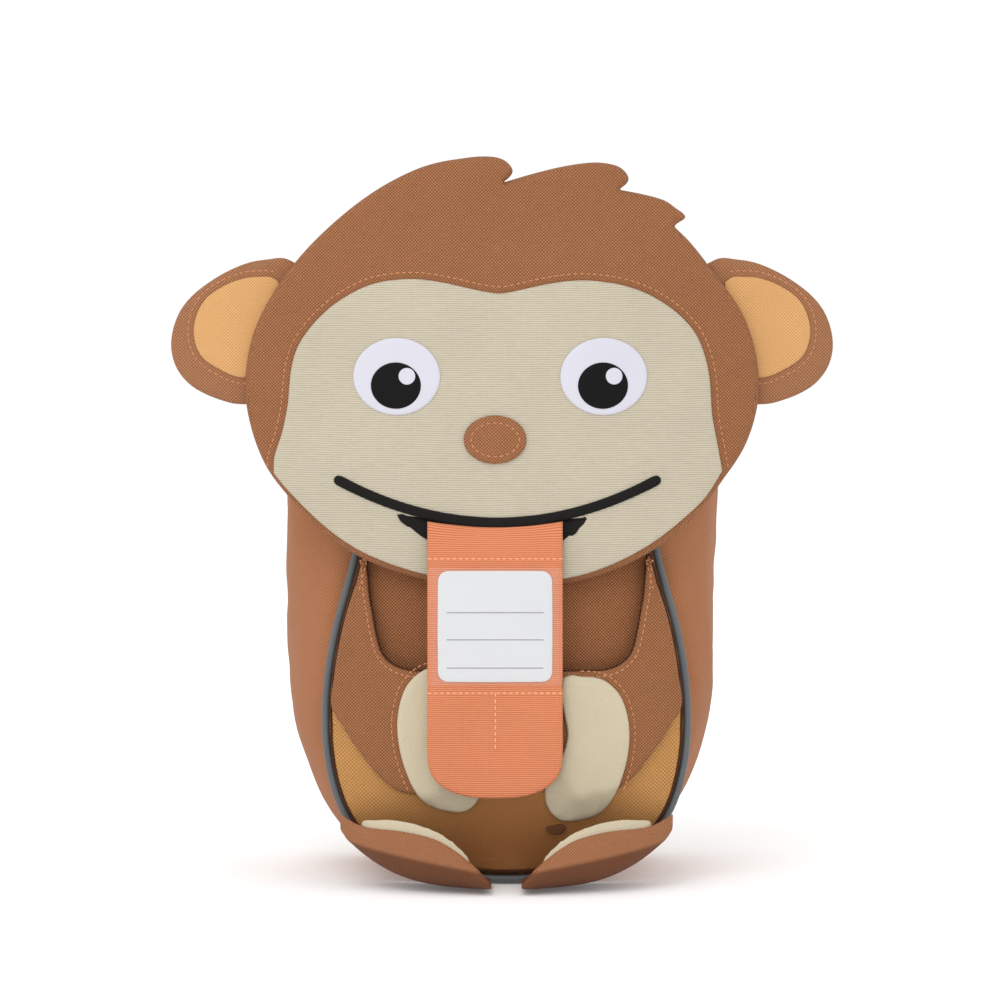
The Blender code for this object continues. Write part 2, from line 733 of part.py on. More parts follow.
def under_point(share):
    """Centre of the piping under the front, from its middle (0) to the right turn (1)."""
    turn = seam_turn()
    corner_x, corner_y = body("crease", turn), seam_point(1, turn).y
    x, z = PANEL_SHIFT + corner_x * share, seam_low(share)
    front = front_y(x, z + PIPING_RADIUS) - PIPING_RADIUS - 2 * LAYER_GAP
    y = front * (1 - share ** 3) + corner_y * share ** 3
    return Vector((x, min(y, corner_y), z))


def piping_front(share):
    """Depth just in front of the piping, under the front."""
    return under_point(share).y - PIPING_RADIUS - 2 * LAYER_GAP


def piping_route():
    """The piping's centre line, down one side, under the front and up the other side."""
    top, turn = CHIN_HEIGHT + PIPING_TOP * HEAD_HEIGHT, seam_turn()
    heights = [turn + (top - turn) * (i / SEAM_STEPS) ** EDGE_BUNCHING for i in range(SEAM_STEPS, 0, -1)]
    right = [seam_point(1, z) for z in heights]
    under = [under_point(1 - i / UNDER_STEPS) for i in range(UNDER_STEPS + 1)]
    mirror = [Vector((2 * PANEL_SHIFT - p.x, p.y, p.z)) for p in (right + under[:-1])]
    return right + under + mirror[::-1]


def make_piping():
    """The round seam cord."""
    route = piping_route()
    profile = [(math.cos(turn) / 2, math.sin(turn) / 2)
               for turn in (2 * math.pi * i / TUBE_SIDES for i in range(TUBE_SIDES))]
    return extruded("piping", route, [Vector((0, 1, 0))] * len(route), 2 * PIPING_RADIUS,
                    2 * PIPING_RADIUS, profile, fabric("grey piping", "80868c", 0.6))


def foot_row(side, share, inwards):
    """Points across one foot from its root at the piping over sole and fold to the rim.

    share runs from the outer corner (0) to the tip (1), and inwards is how far the points
    are moved into the foot, towards the bag.
    """
    at = FOOT[0].across + (FOOT[-1].across - FOOT[0].across) * share
    rows = FOOT[::-1]
    read = lambda column: follow(rows, "across", column, at)
    x = PANEL_SHIFT + side * at * FOOT_SPAN
    seam_y = piping_front(1.0)
    floor = FOOT_CLEAR_OF_FLOOR
    seam_share = min(at * FOOT_SPAN / body("crease", seam_turn()), 1.0)
    beside = seam_point(1, max(floor + read("root_up") * FOOT_HEIGHT, seam_turn())).y
    beside = beside - PIPING_RADIUS - 2 * LAYER_GAP
    marks = [(min(piping_front(seam_share), beside), read("root_up"))]
    for name in ("sole", "fold", "rim"):
        marks.append((seam_y - read(name + "_out") * FOOT_REACH, read(name + "_up")))
    spots = [Vector((y, floor + up * FOOT_HEIGHT)) for y, up in marks]
    curve = []
    for i in range(3):
        before, here, after = spots[max(i - 1, 0)], spots[i], spots[i + 1]
        beyond = spots[min(i + 2, 3)]
        lead, tail = (after - before) / 2, (beyond - here) / 2
        for k in range(3):
            t = k / 3
            curve.append(
                (2 * t ** 3 - 3 * t ** 2 + 1) * here + (t ** 3 - 2 * t ** 2 + t) * lead
                + (3 * t ** 2 - 2 * t ** 3) * after + (t ** 3 - t ** 2) * tail
            )
    curve.append(spots[3])
    row = []
    for i, spot in enumerate(curve):
        run = curve[min(i + 1, len(curve) - 1)] - curve[max(i - 1, 0)]
        normal = Vector((run.y, -run.x)).normalized()
        moved = spot + normal * inwards
        row.append(Vector((x, moved.x, moved.y)))
    return row


def make_foot(name, side):
    """One foot: a canvas flap that runs out from the piping and curls up."""
    shares = [i / FOOT_STEPS for i in range(FOOT_STEPS + 1)]
    outer = [foot_row(side, share, 0.0) for share in shares]
    inner = [foot_row(side, share, FOOT_WALL) for share in shares]
    return grid_solid(name, inner, outer, fabric("foot canvas", "94664a", 0.9))


def make_foot_felt(name, side):
    """The felt inside a foot, which stands a little proud of its rim."""
    shares = [FELT_FROM + FELT_SPAN * i / FELT_STEPS for i in range(FELT_STEPS + 1)]
    inner, outer = [], []
    for share in shares:
        faces = [foot_row(side, share, FOOT_WALL + LAYER_GAP + extra)[FELT_FIRST:]
                 for extra in (0.0, FELT_WALL)]
        for row in faces:
            row.append(row[-1] + (row[-1] - row[0]) * FELT_PROUD)
        outer.append(faces[0])
        inner.append(faces[1])
    return grid_solid(name, inner, outer, fabric("foot felt", "d3c3ac", 0.95))


def head_back_y(x, z):
    """Back face of the head: it leans on the chin patch and on the cap's front."""
    z_chin, z_cap = PATCH_CENTRE, cap_base() + HEAD_LEANS_AT * CAP_RISE
    y_chin = panel_y(PANEL_SHIFT, z_chin) - PATCH_WALL - 2 * LAYER_GAP
    y_cap = -body("crown", RIM_HEIGHT) - LAYER_GAP
    lean = y_chin + (y_cap - y_chin) * (z - z_chin) / (z_cap - z_chin)
    return lean + HEAD_WRAP * (x / HEAD_HALF_WIDTH) ** 2


def head_wall(x, z):
    """Thickness of the padded head, thinner towards its edge."""
    middle = CHIN_HEIGHT + HEAD_HEIGHT / 2
    far = (x / HEAD_HALF_WIDTH) ** 2 + ((z - middle) / (HEAD_HEIGHT / 2)) ** 2
    return HEAD_WALL - EDGE_THINNING * min(far, THINNEST_AT)


def head_place(mark):
    """Front-view place of a mark on the head."""
    return (mark.across * HEAD_HALF_WIDTH, CHIN_HEIGHT + mark.up * HEAD_HEIGHT, mark.corner)


def head_front_y(x, z):
    """Front face of the head."""
    return head_back_y(x, z) - head_wall(x, z)


def face_y(x, z):
    """Front face of the face patch."""
    return head_front_y(x, z) - LAYER_GAP - FACE_WALL


def slot_outline():
    """Outline of the mouth slot that the tongue comes out of."""
    return smooth_outline([head_place(mark) for mark in SLOT], 2)


def make_head_flap():
    """The padded head with its hair tufts, which hangs over the bag's front."""
    outline = smooth_outline([head_place(mark) for mark in HEAD], 2)
    return sheet("head_flap", outline, head_back_y, head_wall, HEAD_GRID,
                 fabric("head canvas", "a46f4f", 0.9), slot_outline())


def make_face_patch():
    """The pale face sewn on the head."""
    outline = smooth_outline([head_place(mark) for mark in FACE], 2)
    near = lambda x, z: head_front_y(x, z) - LAYER_GAP
    return sheet("face_patch", outline, near, FACE_WALL, HEAD_GRID,
                 fabric("face canvas", "cdc5b1", 0.9), slot_outline())


def make_closure_patch():
    """The hook-and-loop pad between the chin and the front panel."""
    outline = rounded_rectangle(
        PANEL_SHIFT - PATCH_WIDTH / 2, PANEL_SHIFT + PATCH_WIDTH / 2,
        PATCH_CENTRE - PATCH_HEIGHT / 2, PATCH_CENTRE + PATCH_HEIGHT / 2, PATCH_HEIGHT / 6, 2)
    near = lambda x, z: panel_y(x, z) - LAYER_GAP
    return sheet("closure_patch", outline, near, PATCH_WALL, BODY_GRID,
                 fabric("hook and loop", "6b4a35", 0.95))


def ear_outline(marks, side):
    """Front-view outline of an ear piece."""
    root, middle = on_head(EAR_ROOT, EAR_UP)
    placed = [(side * (root + mark.across * EAR_REACH), middle + mark.up * EAR_HALF_HEIGHT, False)
              for mark in marks]
    return smooth_outline(placed, 2)


def make_ear(name, side):
    """One padded ear, held behind the head's edge."""
    near = lambda x, z: head_back_y(x, z) + 2 * LAYER_GAP + EAR_INNER_WALL
    return sheet(name, ear_outline(EAR, side), near, -EAR_WALL, HEAD_GRID,
                 fabric("ear canvas", "a46f4f", 0.9))


def make_ear_inner(name, side):
    """The tan cloth inside an ear."""
    near = lambda x, z: head_back_y(x, z) + LAYER_GAP
    return sheet(name, ear_outline(EAR_INNER, side), near, -EAR_INNER_WALL, HEAD_GRID,
                 fabric("ear cloth", "d8a670", 0.85))


def on_head(across, up):
    """Front-view place from shares of the head."""
    return (across * HEAD_HALF_WIDTH, CHIN_HEIGHT + up * HEAD_HEIGHT)


def make_eye(label):
    """One printed eye: white, pupil and glint, each a thin layer."""
    pieces = []
    across = EYE_ACROSS[label]
    layers = [
        ("eye", across, EYE_UP, EYE_WIDTH, EYE_HEIGHT, "e5e3ec"),
        ("pupil", across + PUPIL_ASIDE, PUPIL_UP, PUPIL_WIDTH, PUPIL_HEIGHT, "161615"),
        ("glint", across + GLINT_ASIDE, GLINT_UP, GLINT_WIDTH, GLINT_WIDTH, "e5e3ec"),
    ]
    for level, (kind, x_share, z_share, width, height, colour) in enumerate(layers):
        x, z = on_head(x_share, z_share)
        lift = LAYER_GAP + level * (PRINT_WALL + LAYER_GAP)
        near = lambda px, pz, lift=lift: face_y(px, pz) - lift
        outline = ellipse(x, z, width, height, ROUND_STEPS - 4 * level)
        pieces.append(sheet(kind + "_" + label, outline, near, PRINT_WALL, HEAD_GRID / 2,
                            fabric(kind + " print", colour, 0.5)))
    return pieces


def make_nose():
    """The oval canvas nose."""
    x, z = on_head(FACE_MIDDLE, NOSE_UP)
    near = lambda px, pz: face_y(px, pz) - LAYER_GAP
    return sheet("nose", ellipse(x, z, NOSE_WIDTH, NOSE_HEIGHT, ROUND_STEPS), near, NOSE_WALL,
                 HEAD_GRID / 2, fabric("nose canvas", "a57050", 0.9))


def mouth_z(x):
    """Centre line of the mouth band."""
    middle_x, middle_z = on_head(MOUTH_MIDDLE, MOUTH_UP)
    return middle_z + MOUTH_SAG * ((x - middle_x) / MOUTH_HALF_SPAN) ** 2


def make_mouth_band():
    """The black mouth: a band along a shallow curve with round ends."""
    middle_x, half = on_head(MOUTH_MIDDLE, MOUTH_UP)[0], MOUTH_BAND / 2
    upper, lower = [], []
    for i in range(MOUTH_STEPS + 1):
        x = middle_x + MOUTH_HALF_SPAN * (2 * i / MOUTH_STEPS - 1)
        slope = 2 * MOUTH_SAG * (x - middle_x) / MOUTH_HALF_SPAN ** 2
        away = Vector((-slope, 1.0)).normalized() * half
        upper.append((x + away.x, mouth_z(x) + away.y))
        lower.append((x - away.x, mouth_z(x) - away.y))
    caps = []
    for side in (1, -1):
        x = middle_x + side * MOUTH_HALF_SPAN
        slope = side * 2 * MOUTH_SAG / MOUTH_HALF_SPAN
        ahead = Vector((side, side * slope)).normalized() * half
        across = Vector((-slope, 1.0)).normalized() * half
        for turn in (45, 90, 135):
            away = ahead * math.sin(math.radians(turn)) + across * math.cos(math.radians(turn)) * -side
            caps.append((x + away.x, mouth_z(x) + away.y))
    outline = lower + caps[:3] + upper[::-1] + caps[3:]
    near = lambda px, pz: face_y(px, pz) - LAYER_GAP
    return sheet("mouth_band", outline, near, MOUTH_WALL, HEAD_GRID, fabric("mouth cloth", "232023", 0.7))


def tongue_top():
    """Height of the tongue's sewn end, just under the slot's upper edge."""
    return CHIN_HEIGHT + SLOT[8].up * HEAD_HEIGHT - GAP


def tongue_back_y(x, z):
    """Back face of the tongue: out of the slot, over the chin and down past the hands."""
    lip = SLOT[3].up + TONGUE_EXIT * (SLOT[8].up - SLOT[3].up)
    out_z = CHIN_HEIGHT + lip * HEAD_HEIGHT
    over_lip = face_y(0.0, out_z) - 2 * LAYER_GAP
    if z >= out_z:
        share = (z - out_z) / (tongue_top() - out_z)
        return over_lip + TONGUE_SET_IN * share ** 2
    hand_top = max(mark.up for mark in HAND) * PANEL_HEIGHT
    over_hands = arm_y(PANEL_SHIFT, hand_top) - HAND_WALL - 3 * LAYER_GAP
    slope = (min(over_hands, over_lip) - over_lip) / (out_z - hand_top)
    return over_lip + slope * (out_z - max(z, hand_top - TONGUE_HANG))


def tongue_outline():
    """Front-view outline of the tongue with its round end."""
    middle = on_head(FACE_MIDDLE, 0.0)[0]
    top, bottom = tongue_top(), tongue_top() - TONGUE_DROP
    right = [(middle + TONGUE_HALF_WIDTH, top)]
    right.append((middle + TONGUE_HALF_WIDTH, (top + bottom + TONGUE_ROUND) / 2))
    for i in range(TONGUE_STEPS + 1):
        turn = math.pi * i / TONGUE_STEPS
        reach = math.copysign(abs(math.cos(turn)) ** TONGUE_SQUARE, math.cos(turn))
        drop = math.sin(turn) ** TONGUE_SQUARE
        x = middle + TONGUE_HALF_WIDTH * reach
        right.append((x, bottom + TONGUE_ROUND * (1 - drop)))
    right.append((middle - TONGUE_HALF_WIDTH, (top + bottom + TONGUE_ROUND) / 2))
    right.append((middle - TONGUE_HALF_WIDTH, top))
    return right


def make_tongue():
    """The coral tongue that is the name tag's carrier."""
    return sheet("tongue", tongue_outline(), tongue_back_y, TONGUE_WALL, BODY_GRID,
                 fabric("tongue cloth", "e08e68", 0.8))


def make_name_card():
    """The blank card under the window."""
    middle = on_head(FACE_MIDDLE, 0.0)[0]
    z = tongue_top() - CARD_DROP
    outline = rounded_rectangle(middle - CARD_WIDTH / 2, middle + CARD_WIDTH / 2,
                                z - CARD_HEIGHT / 2, z + CARD_HEIGHT / 2, CARD_ROUND, 3)
    near = lambda px, pz: tongue_back_y(px, pz) - TONGUE_WALL - LAYER_GAP
    return sheet("name_card", outline, near, CARD_WALL, BODY_GRID, fabric("card", "e8e8ea", 0.6))


def make_card_window():
    """The clear window over the card, as wide as the tongue."""
    middle = on_head(FACE_MIDDLE, 0.0)[0]
    z = tongue_top() - CARD_DROP
    edge = TONGUE_HALF_WIDTH - GAP
    outline = rounded_rectangle(middle - edge, middle + edge, z - WINDOW_HEIGHT / 2,
                                z + WINDOW_HEIGHT / 2, CARD_ROUND / 4, 1)
    near = lambda px, pz: tongue_back_y(px, pz) - TONGUE_WALL - CARD_WALL - 2 * LAYER_GAP
    return sheet("card_window", outline, near, WINDOW_WALL, BODY_GRID, fabric("clear film", "f2efec", 0.1))


def back_face():
    """Rear face of the back pad where it is flat."""
    return BACK_DEPTH + LAYER_GAP + BACK_PAD


def make_back_panel():
    """The padded back."""
    outline = rounded_rectangle(-BACK_PAD_HALF_WIDTH, BACK_PAD_HALF_WIDTH, BACK_PAD_FOOT,
                                RIM_HEIGHT - LAYER_GAP, BACK_PAD_ROUND, 3)
    near = lambda x, z: body("back", z) + LAYER_GAP
    return sheet("back_panel", outline, near, -BACK_PAD, 2 * BODY_GRID,
                 fabric("back mesh", "7c5840", 0.95))


def strap_centre(side, share):
    """Centre line of a shoulder strap, from its top (0) to its end (1)."""
    top = RIM_HEIGHT - STRAP_TOP / 4
    x = side * (STRAP_TOP + STRAP_SPREAD * follow(STRAP, "down", "spread", share))
    out = follow(STRAP, "down", "out", share) * STRAP_ARCH
    return Vector((x, back_face() + LAYER_GAP + STRAP_WALL / 2 + out, top - share * (top - STRAP_END)))


def band(name, centres, across, width, wall, crown, material):
    """Make a strap along a centre line: across is its width's direction at each centre."""
    flat = BAND_FLAT
    profile = [(-0.5, -0.5 + crown), (-flat, -0.5), (flat, -0.5), (0.5, -0.5 + crown),
               (0.5, 0.5 - crown), (flat, 0.5), (-flat, 0.5), (-0.5, 0.5 - crown)]
    if crown == 0:
        profile = [(-0.5, -0.5), (0.5, -0.5), (0.5, 0.5), (-0.5, 0.5)]
    return extruded(name, centres, across, width, wall, profile, material)


def extruded(name, centres, across, width, wall, profile, material):
    """Sweep a profile, given as shares of the width and wall, along a centre line."""
    points, count = [], len(profile)
    for i, centre in enumerate(centres):
        run = (centres[min(i + 1, len(centres) - 1)] - centres[max(i - 1, 0)]).normalized()
        side = (across[i] - run * across[i].dot(run)).normalized()
        normal = run.cross(side)
        points += [centre + side * (u * width) + normal * (v * wall) for u, v in profile]
    faces = []
    for r in range(len(centres) - 1):
        for c in range(count):
            a, b = r * count + c, r * count + (c + 1) % count
            faces.append([a, b, b + count, a + count])
    faces.append([c for c in range(count)])
    faces.append([(len(centres) - 1) * count + c for c in range(count)])
    return add_piece(name, points, faces, material)


def make_shoulder_strap(name, side):
    """One padded shoulder strap."""
    centres = [strap_centre(side, i / STRAP_STEPS) for i in range(STRAP_STEPS + 1)]
    return band(name, centres, [Vector((1, 0, 0))] * len(centres), STRAP_WIDTH, STRAP_WALL,
                STRAP_ROUND, fabric("strap cloth", "8f6248", 0.9))


def strap_frame(side):
    """Place and directions at a strap's end: its end point, the way on, across, and outwards."""
    end = strap_centre(side, 1.0)
    foot = Vector((end.x + side * WEB_SPREAD, back_face() + LAYER_GAP + WEB_WALL / 2,
                   BACK_PAD_FOOT - 2 * WEB_WALL))
    ahead = (end - strap_centre(side, 1 - 1 / STRAP_STEPS)).normalized()
    across = (Vector((1, 0, 0)) - ahead * ahead.x).normalized()
    outwards = across.cross(ahead)
    if outwards.y < 0:
        outwards = -outwards
    return end, foot, ahead, across, outwards


def make_strap_buckle(name, side):
    """One ladder-lock frame: three bars between two side rails."""
    end, _, ahead, across, outwards = strap_frame(side)
    middle = end + ahead * (BUCKLE_HEIGHT / 2 + LAYER_GAP)
    half = BUCKLE_WIDTH / 2
    columns = [-half, -half + BUCKLE_BAR, half - BUCKLE_BAR, half]
    rows = [-BUCKLE_HEIGHT / 2, -BUCKLE_HEIGHT / 2 + BUCKLE_BAR, -BUCKLE_BAR / 2, BUCKLE_BAR / 2,
            BUCKLE_HEIGHT / 2 - BUCKLE_BAR, BUCKLE_HEIGHT / 2]
    points, faces = [], []
    for level in (-BUCKLE_WALL / 2, BUCKLE_WALL / 2):
        for down in rows:
            for over in columns:
                points.append(middle + ahead * down + across * over + outwards * level)
    wide, layer = len(columns), len(rows) * len(columns)
    solid = {(r, c) for r in range(5) for c in range(3) if not (c == 1 and r in (1, 3))}
    for r, c in solid:
        a = r * wide + c
        cell = [a, a + 1, a + wide + 1, a + wide]
        faces.append(cell)
        faces.append([i + layer for i in reversed(cell)])
        sides = [((r - 1, c), a, a + 1), ((r + 1, c), a + wide + 1, a + wide),
                 ((r, c - 1), a + wide, a), ((r, c + 1), a + 1, a + wide + 1)]
        for neighbour, p, q in sides:
            if neighbour not in solid:
                faces.append([q, p, p + layer, q + layer])
    return add_piece(name, points, faces, fabric("buckle plastic", "3a302b", 0.45))


def make_strap_webbing(name, side):
    """One webbing: from the bag's foot up behind the lower bar, out and over the middle bar."""
    end, foot, ahead, across, outwards = strap_frame(side)
    middle = end + ahead * (BUCKLE_HEIGHT / 2 + LAYER_GAP)
    off = BUCKLE_WALL / 2 + GAP + WEB_WALL / 2
    slot = (BUCKLE_HEIGHT - BUCKLE_BAR) / 4
    clear = BUCKLE_BAR / 2 + GAP + WEB_WALL / 2
    turn = 0.8 * clear
    climb = [(2 * slot - turn, -off), (slot, 0.0), (turn, off), (-turn, off),
             (-slot, 0.0), (turn - 2 * slot, -off)]
    centres = [foot + Vector((0, 0, -WEB_TAB)), foot.copy()]
    centres[0].y = body("back", centres[0].z) + LAYER_GAP + WEB_WALL / 2
    centres.append(middle + ahead * (BUCKLE_HEIGHT / 2 + 2 * WEB_WALL) - outwards * off)
    centres += [middle + ahead * down + outwards * out for down, out in climb]
    sides = [Vector((1, 0, 0))] * 2 + [across] * (len(centres) - 2)
    return band(name, centres, sides, WEB_WIDTH, WEB_WALL, 0, fabric("webbing", "6e4a36", 0.8))


def make_grab_loop():
    """The loop on top of the lid: two tabs flat on the cap, an arch with a flat middle."""
    floor = cap_base() + CAP_RISE + LAYER_GAP + LOOP_WALL / 2
    spots = [(LOOP_HALF_SPAN + LOOP_TAB, 0.0)]
    spots += [(LOOP_HALF_SPAN * x, LOOP_RISE * z) for x, z in LOOP]
    spots += [(-x, z) for x, z in reversed(spots)]
    centres = [Vector((x, LOOP_SETBACK, floor + z)) for x, z in spots]
    return band("grab_loop", centres, [Vector((0, 1, 0))] * len(centres), LOOP_WIDTH, LOOP_WALL, 0,
                fabric("loop webbing", "6e4a36", 0.8))


def stand_on_origin(pieces):
    """Hang the pieces on an empty that puts the origin under the middle of them."""
    bpy.context.view_layer.update()
    graph = bpy.context.evaluated_depsgraph_get()
    corners = [Vector(corner) for piece in pieces for corner in piece.evaluated_get(graph).bound_box]
    low = [min(corner[i] for corner in corners) for i in range(3)]
    high = [max(corner[i] for corner in corners) for i in range(3)]
    root = bpy.data.objects.new("backpack", None)
    bpy.context.collection.objects.link(root)
    root.location = (-(low[0] + high[0]) / 2, -(low[1] + high[1]) / 2, -low[2])
    for piece in pieces:
        piece.parent = root


def main():
    """Build every piece and stand them on the origin."""
    clear_scene()
    pieces = [make_bag_shell(), make_front_panel(), make_pocket_belly(), make_piping()]
    pieces += [make_arm("arm_right", 1), make_arm("arm_left", -1)]
    pieces += [make_hand("hand_right", 1, 0.0, 0.0), make_hand("hand_left", -1, HAND_SLIP, HAND_LIFT)]
    for label, side in (("right", 1), ("left", -1)):
        pieces += [make_foot("foot_" + label, side), make_foot_felt("foot_felt_" + label, side)]
    pieces += [make_lid_roof(), make_head_flap(), make_face_patch(), make_closure_patch()]
    for label, side in (("right", 1), ("left", -1)):
        pieces += [make_ear("ear_" + label, side), make_ear_inner("ear_inner_" + label, side)]
    pieces += make_eye("left") + make_eye("right")
    pieces += [make_nose(), make_mouth_band()]
    pieces += [make_tongue(), make_name_card(), make_card_window(), make_back_panel()]
    for label, side in (("right", 1), ("left", -1)):
        pieces.append(make_shoulder_strap("shoulder_strap_" + label, side))
        pieces.append(make_strap_buckle("strap_buckle_" + label, side))
        pieces.append(make_strap_webbing("strap_webbing_" + label, side))
    pieces.append(make_grab_loop())
    stand_on_origin(pieces)


main()
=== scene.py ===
"""Looks of a toddler's backpack in the form of a plain monkey.

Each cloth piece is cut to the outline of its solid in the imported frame, laid on what carries it and
given its wall, turned edge and seam. Padded pieces are blown up with a cloth simulation. Stitches
come from one Geometry Nodes tree. Lengths are in metres unless a name says mm.
"""

import logging
import math
from dataclasses import dataclass, field
from enum import Enum
from typing import ClassVar, Iterable, Mapping, Optional, Sequence, Union

import bmesh
import bpy
import numpy as np
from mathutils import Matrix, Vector, noise
from mathutils.bvhtree import BVHTree
from mathutils.geometry import delaunay_2d_cdt


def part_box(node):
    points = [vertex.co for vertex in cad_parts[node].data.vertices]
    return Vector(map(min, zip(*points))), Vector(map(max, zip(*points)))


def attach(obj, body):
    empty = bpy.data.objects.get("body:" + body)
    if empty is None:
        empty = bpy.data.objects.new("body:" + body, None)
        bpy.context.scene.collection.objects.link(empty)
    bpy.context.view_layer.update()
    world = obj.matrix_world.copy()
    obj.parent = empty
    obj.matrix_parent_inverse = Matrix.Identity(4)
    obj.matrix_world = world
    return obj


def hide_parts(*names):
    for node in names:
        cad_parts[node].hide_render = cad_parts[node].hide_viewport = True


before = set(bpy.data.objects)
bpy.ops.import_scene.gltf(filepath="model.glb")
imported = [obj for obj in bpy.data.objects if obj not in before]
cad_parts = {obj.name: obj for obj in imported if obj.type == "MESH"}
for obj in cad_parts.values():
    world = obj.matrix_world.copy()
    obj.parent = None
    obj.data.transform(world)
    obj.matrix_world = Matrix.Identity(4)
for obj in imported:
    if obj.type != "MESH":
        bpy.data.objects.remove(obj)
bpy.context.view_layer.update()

LOG = logging.getLogger("backpack")
MM = 0.001
BODY = "root"
CLOTH_UV = "cloth"
# Across, the line on which the arms and feet are centred
MIDDLE = 1.6 * MM
SIM_STEPS = 20
Value = Union[float, Sequence[float], bpy.types.NodeSocket, str]


# Colours and node building

def linear(colour: str) -> tuple[float, float, float, float]:
    """Turn an sRGB hex colour to linear light.

    Args:
        colour: Six hex digits.

    Returns:
        Red, green, blue and an alpha of 1.
    """
    channels = [int(colour[i:i + 2], 16) / 255 for i in (0, 2, 4)]
    light = [c / 12.92 if c <= 0.04045 else ((c + 0.055) / 1.055) ** 2.4 for c in channels]
    return (light[0], light[1], light[2], 1.0)


def add(tree: bpy.types.NodeTree, kind: str, links: Mapping[Union[str, int], Value],
        **settings: object) -> bpy.types.Node:
    """Add a node with its settings, values and links.

    Args:
        tree: The tree that gets the node.
        kind: The node's type name.
        links: For each input, by name or number, a socket to link or a value to set.
        settings: Properties of the node.

    Returns:
        The new node.
    """
    node = tree.nodes.new(kind)
    for name, value in settings.items():
        setattr(node, name, value)
    for key, value in links.items():
        if isinstance(value, bpy.types.NodeSocket):
            tree.links.new(value, node.inputs[key])
        else:
            node.inputs[key].default_value = value
    return node


def blank_material(name: str) -> tuple[bpy.types.Material, bpy.types.NodeTree, bpy.types.Node]:
    """Start a material.

    Args:
        name: Its name.

    Returns:
        The material, its tree and its shader.
    """
    material = bpy.data.materials.new(name)
    material.use_nodes = True
    return material, material.node_tree, material.node_tree.nodes["Principled BSDF"]


class Side(Enum):
    """A side of the backpack, seen from the front."""

    LEFT = "left"
    RIGHT = "right"

    @property
    def sign(self) -> int:
        """-1 on the left and 1 on the right."""
        return -1 if self is Side.LEFT else 1


class Surface(Enum):
    """A surface of a piece, by the way it faces along y."""

    FRONT = -1
    BACK = 1


class Weave(Enum):
    """How a cloth's surface is made."""

    PLAIN = "plain"
    RIB = "rib"
    FELT = "felt"
    WEBBING = "webbing"
    MESH = "mesh"


@dataclass(frozen=True)
class PaintedShade:
    """Painted shade: a darkening of a cloth's colour over its height, where shade falls on the real
    thing.

    Attributes:
        colour: Hex colour of the painted shade, which the cloth goes towards.
        low: Height where the change is full.
        high: Height where it has ended.
        amount: How far it goes at the lower height, from 0 to 1.
        middle: Where given, the change is full here across and fades by the reach to both sides.
        reach: Distance across over which it fades.
        tilt: How much the heights rise per distance from the middle.
    """

    colour: str
    low: float
    high: float
    amount: float
    middle: Optional[float] = None
    reach: float = 0.05
    tilt: float = 0.0


